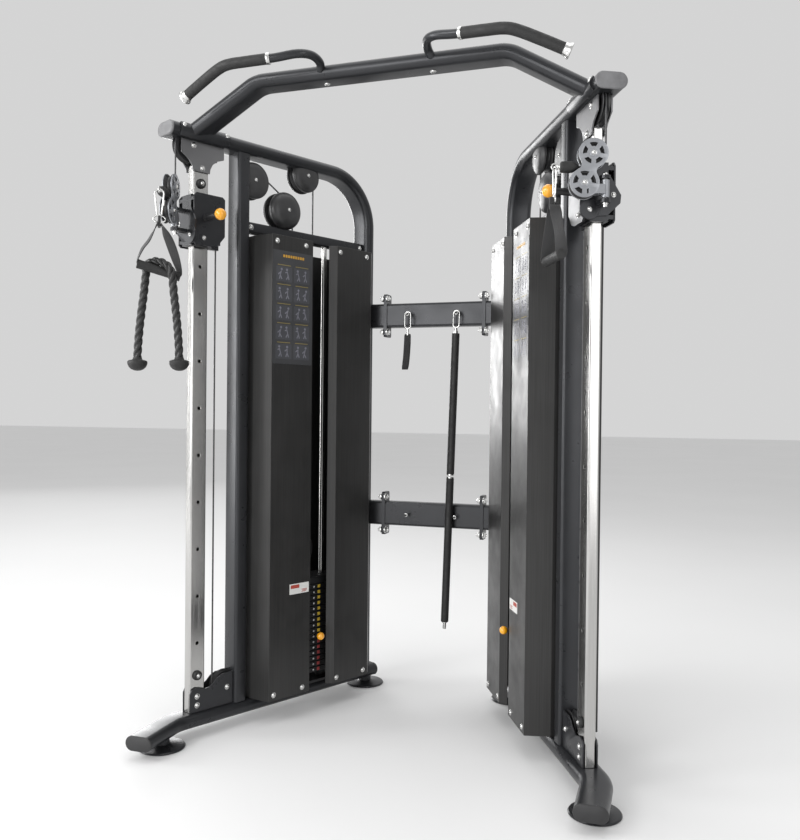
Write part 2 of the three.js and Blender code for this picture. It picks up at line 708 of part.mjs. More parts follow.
// Cuts tools drawn at the left tower away on both sides of the machine.
function trimmed(manifold, tools) {
  return tools.reduce((rest, tool) => {
    const left = solid(tool());
    return rest.subtract(left).subtract(left.mirror([1, 0, 0]));
  }, manifold);
}

function pullupBar() {
  const { y, midZ, endZ, atX, bendX, endX, radius } = PULLUP;
  const slope = Math.atan2(midZ - endZ, atX - bendX);
  const reach = radius * Math.tan(slope / 2);
  const bend = Array.from({ length: 4 }, (_, i) => {
    const turn = slope * (1 - i / 3);
    const x = -bendX + reach - radius * Math.sin(turn);
    return new THREE.Vector3(x, y, midZ - radius * (1 - Math.cos(turn)));
  });
  const end = new THREE.Vector3(-endX, y, midZ - (endX - bendX) * Math.tan(slope));
  const half = [end, ...bend];
  const stations = [...half, ...half.map((p) => new THREE.Vector3(-p.x, p.y, p.z)).reverse()];
  const main = solid(sweep(roundedRect(OVAL_WIDE, OVAL_THIN, OVAL_THIN / 2 - 0.01), stations));
  const bore = solid(sweep(roundedRect(OVAL_WIDE - 6, OVAL_THIN - 6, OVAL_THIN / 2 - 3.01, 2), stations));
  const saddle = solid(fromTower(railSide(OVAL_THIN / 2 + 6, 700, 900)));
  const rounded = () => fromTower(railSide(OVAL_THIN / 2 + 2 * GAP));
  const arms = pullupHandle(1).add(pullupHandle(-1));
  const whole = main.add(saddle).add(saddle.mirror([1, 0, 0])).add(arms).subtract(bore);
  return trimmed(whole, [rounded, outerSide]);
}

// The rounded inner side of the top rail, as a bar of the given radius.
function railSide(radius, from = 0, to = 1200) {
  const inner = OVAL_WIDE / 2 - OVAL_THIN / 2;
  const bar = new THREE.CylinderGeometry(radius, radius, to - from, 18);
  return bar.rotateZ(Math.PI / 2).translate((from + to) / 2, inner, RAIL_Z);
}

// Everything outwards of that side.
const outerSide = () => fromTower(block(0, 1200, -300, OVAL_WIDE / 2 - OVAL_THIN / 2 + 12, 1900, 2400));

const PULLUP_HANDLE = [
  [186, -784, 2240], [180, -806, 2256], [190, -846, 2264], [224, -882, 2259], [292, -905, 2245],
  [380, -921, 2237], [440, -928, 2232], [480, -924, 2222], [550, -907, 2193], [622, -888, 2161],
];

function pullupHandle(side) {
  const points = PULLUP_HANDLE.map(([x, y, z]) => new THREE.Vector3(side * x, y, z));
  const route = new THREE.CatmullRomCurve3(points);
  const tube = sweep(circle(13.5, 6), route.getPoints(14));
  const gripped = new THREE.CatmullRomCurve3(points.slice(4, 9).concat(route.getPoint(0.985)));
  const grip = sweep(circle(17, 6), gripped.getPoints(6));
  return join(tube, grip);
}

// Drawn hanging from the middle of a hook pin at the origin.
function longBar() {
  const bar = turned([
    [0, -1242], [7, -1242], [7, -1217], [15, -1213], [15, -80], [6, -74], [6, -58], [0, -58],
  ], 12);
  return join(bar, clip(30, 72, 6, 11.8));
}

function shortStrap() {
  return join(clip(30, 72, 6, 11.8), rod(5, -84, -58, 8), block(-12.5, 12.5, -9, 9, -222, -82));
}

function hooked(mesh, x, lean) {
  mesh.position.set(x, BEAM.y - BEAM.halfDeep - 26, BEAM.upper);
  mesh.rotation.y = lean;
  return mesh;
}

// ---------------------------------------------------------------- the machine
const machine = new THREE.Group();
const leftTower = tower('left');
const leftTilt = THREE.MathUtils.degToRad(SIDES.left.tiltDeg);
leftTower.add(hung(named('rope_left', rope(leftTilt), NYLON), SIDES.left));
machine.add(placed(leftTower, false));
machine.add(placed(tower('right'), true));
machine.add(named('crossbeam_upper', crossbeam(BEAM.upper, 36), FRAME));
machine.add(named('crossbeam_lower', crossbeam(BEAM.lower, 27), FRAME));
machine.add(named('pullup_bar', pullupBar(), FRAME));
machine.add(hooked(named('long_bar', longBar(), RUBBER), BEAM.pinX, THREE.MathUtils.degToRad(1.65)));
machine.add(hooked(named('short_strap', shortStrap(), NYLON), -BEAM.pinX, 0));

// The origin sits under the middle of the machine; the rope is cloth-like and is not counted.
machine.updateMatrixWorld(true);
const bounds = new THREE.Box3();
machine.traverse((piece) => {
  if (piece.isMesh && piece.name !== 'rope_left') bounds.expandByObject(piece, true);
});
machine.position.y = -(bounds.min.y + bounds.max.y) / 2;

export default machine;
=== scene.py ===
import itertools
import math

import bmesh
import bpy
from mathutils import Matrix, Vector


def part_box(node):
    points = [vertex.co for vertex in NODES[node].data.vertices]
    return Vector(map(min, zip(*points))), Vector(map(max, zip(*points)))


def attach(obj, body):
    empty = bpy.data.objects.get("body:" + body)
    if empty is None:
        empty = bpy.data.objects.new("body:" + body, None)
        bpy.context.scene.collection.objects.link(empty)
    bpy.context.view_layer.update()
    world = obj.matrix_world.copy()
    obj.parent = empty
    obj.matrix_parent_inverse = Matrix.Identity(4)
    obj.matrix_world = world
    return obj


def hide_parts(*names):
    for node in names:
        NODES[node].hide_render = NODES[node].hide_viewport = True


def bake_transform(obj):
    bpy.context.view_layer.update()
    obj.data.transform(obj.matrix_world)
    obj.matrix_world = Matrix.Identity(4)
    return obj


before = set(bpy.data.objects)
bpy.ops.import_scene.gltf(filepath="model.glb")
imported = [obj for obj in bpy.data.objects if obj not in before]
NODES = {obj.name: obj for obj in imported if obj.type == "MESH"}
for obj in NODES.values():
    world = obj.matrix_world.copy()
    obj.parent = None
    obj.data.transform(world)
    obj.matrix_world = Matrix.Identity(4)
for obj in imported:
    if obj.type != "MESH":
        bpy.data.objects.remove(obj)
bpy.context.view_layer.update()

# ---------- the part's own dimensions, millimetres
TOWER_ANGLE = math.radians(26.5)
TOWER_X = 319
SHIFT_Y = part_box("crossbeam_upper")[1].y + 0.016
SIDES = {
    "left": {"mirror": 1, "swivel": 40, "grip": 151, "tilt": 15, "pin_plate": 7},
    "right": {"mirror": -1, "swivel": 100, "grip": 0, "tilt": 0, "pin_plate": 11},
}
TUBE = (96, 48)
POST_S = 630
RAIL_HOLE_S = 800
STACK_S = 335
STACK_BOTTOM = 125
PLATE_PITCH = 21.5
PLATES = 16
ROD_S = (225, 445)
CABLE_RADIUS = 3
WHEEL_RIM, WHEEL_GROOVE = 57, 50
WHEELS = {
    "top": (840, 2046), "crown": (STACK_S, 2046), "guide": (435, 1895), "entry": (578, 1981),
    "base": (678, 147), "floating": (STACK_S, 602),
}
SWIVEL_S = 890
YOKE_UPPER, YOKE_LOWER = (37, 1890), (62, 1805)
YOKE_RIM, YOKE_GROOVE = 42, 37
PULL_Z = 1853
EYE_U = 146
GRIP_Z = -262
ROPE_LAY = 84.0
ROPE_STRANDS = 3
ROPE_RADIUS = 13.6
COVER_FACE = 126.4
HOOK_X, HOOK_Z = 100, 1529
FORWARD = Vector((1, 0, 0))
IN = Vector((0, 1, 0))
OUT = Vector((0, -1, 0))
Z = Vector((0, 0, 1))


def machine(x, y, z):
    """A point given in the machine's millimetres, before the part's origin was moved to its middle."""
    return Vector((x / 1000, y / 1000 + SHIFT_Y, z / 1000))


def in_machine(point):
    """The machine's millimetres of a point of the row frame."""
    return (point - machine(0, 0, 0)) * 1000


def tower_direction(side, s, n, z=0.0):
    mirror = SIDES[side]["mirror"]
    sin, cos = math.sin(TOWER_ANGLE), math.cos(TOWER_ANGLE)
    return Vector((mirror * (cos * n - sin * s), -cos * s - sin * n, z))


def tower(side, s, n, z):
    """A point of one tower: s from the rear post to the front, n inwards, z up."""
    mirror = SIDES[side]["mirror"]
    return tower_direction(side, s, n, z) / 1000 + Vector((-mirror * TOWER_X / 1000, SHIFT_Y, 0))


def swivel_frame(side):
    """Matrix from the yoke's own frame (u along the pull, v across, z up; millimetres) to the row frame."""
    angle = math.radians(SIDES[side]["swivel"])
    u = tower_direction(side, math.cos(angle), math.sin(angle))
    v = tower_direction(side, -math.sin(angle), math.cos(angle))
    return placed(tower(side, SWIVEL_S, 0, 0), u, v, Z)


def handle_frame(side):
    """Matrix from the handle's own frame (x along the grip, z up from the eye) to the row frame."""
    angle = math.radians(SIDES[side]["swivel"])
    grip = math.radians(SIDES[side]["grip"])
    eye = tower(side, SWIVEL_S + EYE_U * math.cos(angle), EYE_U * math.sin(angle), PULL_Z)
    x = tower_direction(side, math.cos(grip), math.sin(grip))
    y = tower_direction(side, -math.sin(grip), math.cos(grip))
    return placed(eye, x, y, Z)


def tower_frame(side):
    return placed(tower(side, 0, 0, 0), tower_direction(side, 1, 0), tower_direction(side, 0, 1), Z)


def placed(origin, x, y, z):
    rows = [[x[i] / 1000, y[i] / 1000, z[i] / 1000, origin[i]] for i in range(3)]
    return Matrix(rows + [[0, 0, 0, 1]])


MACHINE = placed(machine(0, 0, 0), FORWARD, IN, Z)


# ---------- camera
def add_camera():
    data = bpy.data.cameras.new("camera")
    camera = bpy.data.objects.new("camera", data)
    bpy.context.scene.collection.objects.link(camera)
    data.lens = 36.11
    yaw, pitch, roll = math.radians(18.04), math.radians(-0.573), math.radians(0.598)
    ahead = Vector((-math.sin(yaw) * math.cos(pitch), math.cos(yaw) * math.cos(pitch), math.sin(pitch)))
    level = Vector((math.cos(yaw), math.sin(yaw), 0))
    upright = level.cross(ahead)
    right = math.cos(roll) * level + math.sin(roll) * upright
    up = -math.sin(roll) * level + math.cos(roll) * upright
    place = Matrix((right, up, -ahead)).transposed().to_4x4()
    place.translation = machine(915, -3299, 1141)
    camera.matrix_world = place
    bpy.context.scene.camera = camera


add_camera()


# ---------- materials
class Nodes:
    """A material's node tree with one Principled shader, and short ways to add to it."""

    def __init__(self, name, color, roughness, metallic=0.0, **sockets):
        self.material = bpy.data.materials.new(name)
        self.material.use_nodes = True
        self.tree = self.material.node_tree
        self.shader = self.tree.nodes["Principled BSDF"]
        values = {"Base Color": (*color, 1), "Roughness": roughness, "Metallic": metallic, **sockets}
        for socket, value in values.items():
            self.shader.inputs[socket.replace("_", " ")].default_value = value
        self.coordinates = self.tree.nodes.new("ShaderNodeTexCoord").outputs["Object"]
        self.height = None

    def link(self, output, target):
        self.tree.links.new(output, target)

    def mapped(self, scale):
        mapping = self.tree.nodes.new("ShaderNodeMapping")
        mapping.inputs["Scale"].default_value = scale
        self.link(self.coordinates, mapping.inputs["Vector"])
        return mapping.outputs["Vector"]

    def noise(self, scale, detail=3.0, stretch=(1, 1, 1)):
        node = self.tree.nodes.new("ShaderNodeTexNoise")
        node.inputs["Scale"].default_value = scale
        node.inputs["Detail"].default_value = detail
        node.inputs["Roughness"].default_value = 0.55
        self.link(self.mapped(stretch), node.inputs["Vector"])
        return node.outputs["Fac"]

    def ramp(self, fac, stops):
        node = self.tree.nodes.new("ShaderNodeValToRGB")
        ramp = node.color_ramp
        while len(ramp.elements) < len(stops):
            ramp.elements.new(0.5)
        for element, (position, color) in zip(ramp.elements, stops):
            element.position = position
            element.color = (*color, 1) if hasattr(color, "__len__") else (color, color, color, 1)
        self.link(fac, node.inputs["Fac"])
        return node.outputs["Color"]

    def color(self, fac, stops):
        self.link(self.ramp(fac, stops), self.shader.inputs["Base Color"])

    def roughness(self, fac, low, high):
        self.link(self.ramp(fac, [(0.3, low), (0.7, high)]), self.shader.inputs["Roughness"])

    def bump(self, fac, strength, distance):
        node = self.tree.nodes.new("ShaderNodeBump")
        node.inputs["Strength"].default_value = strength
        node.inputs["Distance"].default_value = distance
        self.link(fac, node.inputs["Height"])
        if self.height is not None:
            self.link(self.height, node.inputs["Normal"])
        self.height = node.outputs["Normal"]
        self.link(self.height, self.shader.inputs["Normal"])


def shades(color, spread):
    """A darker and a lighter version of a colour."""
    return tuple(c * (1 - spread) for c in color), tuple(min(1, c * (1 + spread)) for c in color)


def painted(name, color, roughness, metallic=0.0, grain=None, spread=0.14):
    m = Nodes(name, color, roughness, metallic)
    dark, light = shades(color, spread)
    if grain:
        streak = m.noise(6, 4, grain)
        m.color(streak, [(0.3, dark), (0.7, light)])
        m.bump(streak, 0.15, 0.0004)
    else:
        m.color(m.noise(3.5, 4), [(0.3, dark), (0.7, light)])
    m.roughness(m.noise(14, 3), roughness * 0.85, roughness * 1.2)
    m.bump(m.noise(1400, 2), 0.05, 0.0002)
    return m.material


def polished(name, color, roughness, stretch=(90, 90, 1.2)):
    m = Nodes(name, color, roughness, 1.0)
    marks = m.noise(5, 3, stretch)
    dark, light = shades(color, 0.07)
    m.color(marks, [(0.3, dark), (0.7, light)])
    m.roughness(marks, roughness * 0.7, roughness * 1.5)
    m.bump(marks, 0.05, 0.0003)
    return m.material


def moulded(name, color, roughness, coat=0.0):
    m = Nodes(name, color, roughness, 0.0, Coat_Weight=coat, Coat_Roughness=0.08)
    dark, light = shades(color, 0.2)
    m.color(m.noise(30, 3), [(0.3, dark), (0.7, light)])
    m.roughness(m.noise(60, 2), roughness * 0.8, roughness * 1.25)
    m.bump(m.noise(2200, 2), 0.12, 0.0002)
    return m.material


def woven(name, color, ribs):
    m = Nodes(name, color, 0.75, 0.0, Sheen_Weight=0.25, Sheen_Roughness=0.5)
    waves = []
    for stretch in (ribs, (ribs[2], ribs[0], ribs[1])):
        wave = m.tree.nodes.new("ShaderNodeTexWave")
        wave.wave_profile = "SIN"
        wave.inputs["Scale"].default_value = 1.0
        wave.inputs["Distortion"].default_value = 0.6
        m.link(m.mapped(stretch), wave.inputs["Vector"])
        waves.append(wave.outputs["Fac"])
    mix = m.tree.nodes.new("ShaderNodeMath")
    mix.operation = "MULTIPLY"
    m.link(waves[0], mix.inputs[0])
    m.link(waves[1], mix.inputs[1])
    dark, light = shades(color, 0.5)
    m.color(mix.outputs[0], [(0.0, dark), (0.8, light)])
    m.bump(mix.outputs[0], 0.5, 0.0006)
    m.bump(m.noise(900, 3), 0.2, 0.0003)
    return m.material


PAINT = painted("powder_coat", (0.030, 0.031, 0.034), 0.30, 0.45)
COVER = painted("brushed_cover", (0.046, 0.0455, 0.045), 0.36, 0.55, grain=(60, 60, 0.6))
CHROME = polished("chrome_rail", (0.50, 0.495, 0.485), 0.17)
BRIGHT = polished("bright_fittings", (0.66, 0.66, 0.65), 0.2, (40, 40, 40))
SILVER = painted("silver_paint", (0.33, 0.34, 0.36), 0.36, 0.65, spread=0.08)
GUSSET = painted("gusset_paint", (0.20, 0.20, 0.205), 0.34, 0.75, spread=0.08)
NYLON = moulded("moulded_nylon", (0.020, 0.020, 0.021), 0.42)
DOME = moulded("pulley_cover", (0.030, 0.030, 0.031), 0.36)
CAP = moulded("end_cap", (0.022, 0.022, 0.023), 0.5)
PALE_CAP = moulded("pale_end_cap", (0.16, 0.16, 0.165), 0.5)
AMBER = moulded("amber_knob", (0.88, 0.37, 0.008), 0.18, 0.9)
RUBBER = moulded("rubber", (0.014, 0.014, 0.014), 0.62)
SHEATH = moulded("cable_sheath", (0.055, 0.055, 0.057), 0.3)
IRON = painted("stack_iron", (0.020, 0.020, 0.021), 0.5, 0.3)
WEBBING = woven("webbing", (0.018, 0.018, 0.019), (1500, 1500, 900))
ROPE = painted("rope_fibre", (0.010, 0.010, 0.010), 0.42, 0.0, grain=(120, 120, 40), spread=0.5)
FOAM = moulded("foam_sleeve", (0.016, 0.016, 0.016), 0.62)
TAG = moulded("plate_tag", (0.66, 0.46, 0.05), 0.5)
RED_TAG = moulded("plate_tag_low", (0.34, 0.05, 0.05), 0.5)
DOT = moulded("plate_dot", (0.55, 0.55, 0.56), 0.5)
THREAD = moulded("thread", (0.045, 0.045, 0.047), 0.7)
PLACARD = painted("placard_ground", (0.045, 0.046, 0.049), 0.4)
CELL = painted("placard_cell", (0.060, 0.062, 0.070), 0.4)
FIGURE = painted("placard_figure", (0.17, 0.17, 0.20), 0.5)
LINE = painted("placard_line", (0.20, 0.16, 0.06), 0.5)
TITLE = painted("placard_title_ink", (0.50, 0.27, 0.03), 0.5)
LABEL = painted("label_paper", (0.72, 0.72, 0.70), 0.5, spread=0.05)
PATCH = painted("label_ink", (0.42, 0.06, 0.04), 0.5)


# ---------- mesh building
class Shell:
    """Vertices and faces gathered in one local frame, then turned into one piece."""

    def __init__(self):
        self.points = []
        self.faces = []

    def add(self, points, faces):
        start = len(self.points)
        self.points += [Vector(p) for p in points]
        self.faces += [tuple(start + i for i in face) for face in faces]
        return self

    def rings(self, rings, closed=False, caps=True):
        """Faces between rings of equal size; closed joins the last ring to the first."""
        size = len(rings[0])
        points = [p for ring in rings for p in ring]
        faces = []
        spans = len(rings) if closed else len(rings) - 1
        for r in range(spans):
            here, there = r * size, ((r + 1) % len(rings)) * size
            for i in range(size):
                j = (i + 1) % size
                faces.append((here + i, here + j, there + j, there + i))
        if caps and not closed:
            faces.append(tuple(range(size)))
            faces.append(tuple((len(rings) - 1) * size + i for i in range(size)))
        return self.add(points, faces)

    def sweep(self, section, path, ref, closed=False, trim=None):
        """A section (a along ref, b across the path) carried along points that lie in a plane across ref."""
        path = [Vector(p) for p in path]
        ref = Vector(ref)
        rings = []
        for i, point in enumerate(path):
            before = path[i - 1] if i or closed else point
            after = path[(i + 1) % len(path)] if i + 1 < len(path) or closed else point
            tangent = (after - before).normalized()
            across = tangent.cross(ref).normalized()
            along_ref = across.cross(tangent).normalized()
            rings.append([point + along_ref * a + across * b for a, b in section])
        if trim:
            ends = (rings[0], rings[1], trim[0]), (rings[-1], rings[-2], trim[1])
            for ring, other, (base, normal) in ends:
                for k, p in enumerate(ring):
                    way = (p - other[k]).normalized()
                    ring[k] = p + way * ((base - p).dot(normal) / way.dot(normal))
        return self.rings(rings, closed)

    def lathe(self, profile, origin=(0, 0, 0), axis=(0, 0, 1), steps=40, closed=False):
        """A turned shape from (radius, height) pairs; closed joins the profile's ends into a ring."""
        axis = Vector(axis).normalized()
        side = axis.orthogonal().normalized()
        other = axis.cross(side)
        origin = Vector(origin)
        rings = []
        for radius, height in profile:
            turn = round_section(max(radius, 0.02), steps)
            rings.append([origin + axis * height + side * a + other * b for a, b in turn])
        return self.rings(rings, closed)

    def piece(self, name, body, material, matrix=MACHINE, smooth=35, slot=None, replaces=()):
        mesh = bpy.data.meshes.new(name)
        mesh.from_pydata([matrix @ p for p in self.points], [], self.faces)
        tidy = bmesh.new()
        tidy.from_mesh(mesh)
        bmesh.ops.remove_doubles(tidy, verts=tidy.verts, dist=1e-6)
        bmesh.ops.recalc_face_normals(tidy, faces=tidy.faces)
        tidy.to_mesh(mesh)
        tidy.free()
        mesh.materials.append(material)
        mesh.polygons.foreach_set("use_smooth", [True] * len(mesh.polygons))
        mesh.set_sharp_from_angle(angle=math.radians(smooth))
        piece = bpy.data.objects.new(name, mesh)
        bpy.context.scene.collection.objects.link(piece)
        if replaces:
            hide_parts(*replaces)
        if body:
            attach(piece, body)
        return piece


def finish_node(name, material, width):
    """A CAD node that stays: its faces are joined, its edges rounded a little, and it gets its material."""
    node = NODES[name]
    node.data.materials.clear()
    node.data.materials.append(material)
    weld = node.modifiers.new("weld", "WELD")
    weld.merge_threshold = 0.00001
    bevel = node.modifiers.new("edges", "BEVEL")
    bevel.width = width / 1000
    bevel.segments = 2
    bevel.limit_method = "ANGLE"
    bevel.angle_limit = math.radians(32)


def oval(along, across, steps=12):
    """A flat-oval section: its longer side's ends are half circles."""
    radius = min(along, across) / 2
    a, b = along / 2 - radius, across / 2 - radius
    points = []
    for k in range(4 * steps):
        angle = math.pi * (k + 0.5) / (2 * steps)
        ca, cb = math.cos(angle), math.sin(angle)
        points.append((math.copysign(a, ca) + radius * ca, math.copysign(b, cb) + radius * cb))
    return points


def box_section(along, across, radius, steps=4):
    a, b = along / 2 - radius, across / 2 - radius
    points = []
    for corner, (sa, sb) in enumerate(((1, 1), (-1, 1), (-1, -1), (1, -1))):
        for k in range(steps + 1):
            angle = math.pi / 2 * (corner + k / steps)
            points.append((sa * a + radius * math.cos(angle), sb * b + radius * math.sin(angle)))
    return points


def round_section(radius, steps=16):
    return [(radius * math.cos(2 * math.pi * k / steps), radius * math.sin(2 * math.pi * k / steps))
            for k in range(steps)]


def arc_points(s, z, radius, start, end, steps):
    """Points round an arc in the tower's plane, degrees from the front, positive upwards."""
    angles = [math.radians(start + (end - start) * k / steps) for k in range(steps + 1)]
    return [Vector((s + radius * math.cos(a), 0, z + radius * math.sin(a))) for a in angles]


def smooth_path(points, steps):
    """A Catmull-Rom curve through the points."""
    points = [Vector(p) for p in points]
    ends = [points[0] * 2 - points[1], *points, points[-1] * 2 - points[-2]]
    made = []
    for a, b, c, d in zip(ends, ends[1:], ends[2:], ends[3:]):
        for k in range(steps):
            t = k / steps
            made.append(0.5 * (2 * b + (c - a) * t + (2 * a - 5 * b + 4 * c - d) * t ** 2
                               + (3 * b - a - 3 * c + d) * t ** 3))
    return [*made, points[-1]]


def tangents(path):
    return [(path[min(i + 1, len(path) - 1)] - path[max(i - 1, 0)]).normalized() for i in range(len(path))]


def carried_frames(path):
    """Each point of any path with two directions across it, carried along without twist."""
    normal = None
    for point, tangent in zip(path, tangents(path)):
        normal = tangent.orthogonal() if normal is None else normal - tangent * normal.dot(tangent)
        normal = normal.normalized()
        yield point, normal, tangent.cross(normal)


def round_tube(shell, path, radius, steps=16):
    return shell.rings([[point + normal * a + other * b for a, b in round_section(radius, steps)]
                        for point, normal, other in carried_frames(path)])


def flat_plate(outline, holes, thickness, edge=0.6):
    """A plate in the XY plane, centred on z = 0, with holes and softened edges, as points and faces."""
    curve = bpy.data.curves.new("outline", "CURVE")
    curve.dimensions = "2D"
    curve.fill_mode = "BOTH"
    curve.extrude = thickness / 2 - edge
    curve.bevel_depth = edge
    curve.bevel_resolution = 1
    curve.offset = -edge
    for loop in (outline, *holes):
        spline = curve.splines.new("POLY")
        spline.points.add(len(loop) - 1)
        for point, (x, y) in zip(spline.points, loop):
            point.co = (x, y, 0, 1)
        spline.use_cyclic_u = True
    holder = bpy.data.objects.new("outline", curve)
    bpy.context.scene.collection.objects.link(holder)
    made = holder.evaluated_get(bpy.context.evaluated_depsgraph_get()).to_mesh()
    points = [v.co.copy() for v in made.vertices]
    faces = [tuple(p.vertices) for p in made.polygons]
    bpy.data.objects.remove(holder)
    bpy.data.curves.remove(curve)
    return points, faces


def bolt(shell, at, out, radius=8.5):
    """A washer and a domed head with a hexagon socket, standing on a face."""
    out = Vector(out).normalized()
    head = ((0, -1), (1.2, -1), (1.2, 1.1), (0.95, 1.4), (0.92, 3.2), (0.75, 5.0), (0.42, 5.8), (0.40, 5.7),
            (0.38, 3.4), (0, 3.3))
    shell.lathe([(radius * r, height) for r, height in head], at, out, 20)


def bolts(name, body, places, matrix, radius=8.5):
    """One piece with a bolt at each place; a place is a point and the way the head faces."""
    shell = Shell()
    for at, out in places:
        bolt(shell, at, out, radius)
    return shell.piece(name, body, BRIGHT, matrix, 40, "rail_chrome")


# ---------- tubes of one tower
def end_cap(shell, section, at, out, ref, steps):
    """A cap on a tube's end; each step is how far it stands out and how wide it is there."""
    across = out.cross(ref)
    shell.rings([[at + out * step + ref * (a * k) + across * (b * k) for a, b in section]
                 for step, k in steps])


def base_tube(side):
    """The foot tube with its bent toe, and its two disc feet."""
    bend_from, bend, toe, foot = 850, 150, 155, 24
    path = [Vector((s, 0, 60)) for s in (-45, 300, 600, bend_from)]
    for k in range(1, 13):
        turn = TOWER_ANGLE * k / 12
        path.append(Vector((bend_from + bend * math.sin(turn), bend * (1 - math.cos(turn)), 60)))
    ahead = Vector((math.cos(TOWER_ANGLE), math.sin(TOWER_ANGLE), 0))
    end = path[-1] + ahead * toe
    path.append(end)
    section = oval(TUBE[1], TUBE[0])
    skin = Shell().sweep(section, path, Z)
    foot_at = path[-2] + ahead * foot
    disc = [(0, 0), (72, 0), (76, 1.5), (77, 4), (74, 7.5), (60, 9.5), (32, 12), (25, 15), (24, 40), (0, 40)]
    for x, y in ((foot_at.x, foot_at.y), (-22, 0)):
        skin.lathe(disc, (x, y, 0), steps=48)
    skin.piece(f"base_frame_{side}", "frame", PAINT, tower_frame(side), 35, "frame_paint",
               [f"base_tube_{side}"])
    caps = Shell()
    for at, out in ((end, ahead), (path[0], -FORWARD)):
        end_cap(caps, section, at, out, Z, ((-1, 1.012), (2.5, 1.012), (4.5, 0.985), (5.5, 0.93)))
    caps.piece(f"base_caps_{side}", "frame", CAP, tower_frame(side), 35, "wheel_plastic")


def top_rail(side):
    """The rear post, hoop and top rail, one tube."""
    path = [Vector((10, 0, z)) for z in (84.3, 700, 1400)]
    path += arc_points(205, 1895, 195, 180, 90, 24)
    path += [Vector((s, 0, 2090)) for s in (500, 925)]
    skin = Shell().sweep(oval(*TUBE), path, IN)
    skin.piece(f"arch_{side}", "frame", PAINT, tower_frame(side), 35, "frame_paint",
               [f"rear_post_and_top_rail_{side}"])
    cap = Shell()
    end_cap(cap, oval(*TUBE), path[-1], FORWARD, IN, ((-1, 1.012), (3, 1.012), (5, 0.985), (6.5, 0.93)))
    cap.piece(f"arch_cap_{side}", "frame", PALE_CAP, tower_frame(side), 35, "wheel_plastic")


def pulley_covers(side):
    """Ears and domed covers of the crown, guide and entry pulleys."""
    domes, ears, heads = Shell(), Shell(), Shell()
    for which, dome, depth, ear in (("crown", 62, 36, (317, 353, 2032, 2068)),
                                    ("guide", 70, 46, (419, 451, 1827, 1909)),
                                    ("entry", 66, 33, (566, 606, 1961, 2001))):
        s, z = WHEELS[which]
        for out in (1, -1):
            rise = depth - 18
            profile = [(0, 0), (dome, 0), (dome, 3)]
            profile += [(dome * math.cos(math.radians(t)) ** 0.55, 3 + rise * math.sin(math.radians(t)))
                        for t in range(10, 91, 10)]
            domes.lathe(profile, (s, out * 15, z), (0, out, 0), 48)
            bolt(heads, (s, out * (depth - 0.6), z), (0, out, 0), 6)
            s0, s1, z0, z1 = ear
            middle = Vector(((s0 + s1) / 2, out * 14.4, 0))
            ears.sweep(box_section(s1 - s0, 3.2, 0.8, 1), [middle + Z * z0, middle + Z * z1], FORWARD)
    matrix = tower_frame(side)
    domes.piece(f"pulley_covers_{side}", "frame", DOME, matrix, 30, "wheel_plastic")
    ears.piece(f"pulley_ears_{side}", "frame", PAINT, matrix, 35, "frame_paint")
    heads.piece(f"pulley_cover_bolts_{side}", "frame", BRIGHT, matrix, 40, "rail_chrome")


def front_post(side):
    """The front post and the mid rail."""
    post = Shell().sweep(box_section(74, 50, 10), [Vector((POST_S, 0, 84.3)), Vector((POST_S, 0, 2067))], IN)
    post.sweep(box_section(40, 38, 5), [Vector((32, 0, 1809)), Vector((606, 0, 1809))], IN)
    post.piece(f"posts_{side}", "frame", PAINT, tower_frame(side), 35, "frame_paint", [f"front_post_{side}"])


# ---------- wheels and cables
def wheel(name, body, centre, axis, rim, groove, matrix):
    """A grooved wheel with a web and a hub, which stands for the CAD node with its body's name."""
    root = groove - 3.4
    half = 11.5
    profile = [(5.7, -half), (13, -half), (14, -half + 1), (14, -6), (root - 8, -6), (root - 5, -half + 1),
               (rim - 1.5, -half), (rim, -half + 1.2), (rim - 1, -half + 2.4), (root + 2, -4.2), (root, -2.4),
               (root, 2.4), (root + 2, 4.2), (rim - 1, half - 2.4), (rim, half - 1.2), (rim - 1.5, half),
               (root - 5, half - 1), (root - 8, 6), (14, 6), (14, half - 1), (13, half), (5.7, half)]
    turned = Shell().lathe(profile, centre, axis, 48, closed=True)
    turned.piece(name, body, NYLON, matrix, 32, "wheel_plastic", [body])


def frame_wheels(side):
    for which, (s, z) in WHEELS.items():
        body = f"{which}_pulley_{side}"
        wheel(f"{which}_wheel_{side}", body, (s, 0, z), IN, WHEEL_RIM, WHEEL_GROOVE, tower_frame(side))


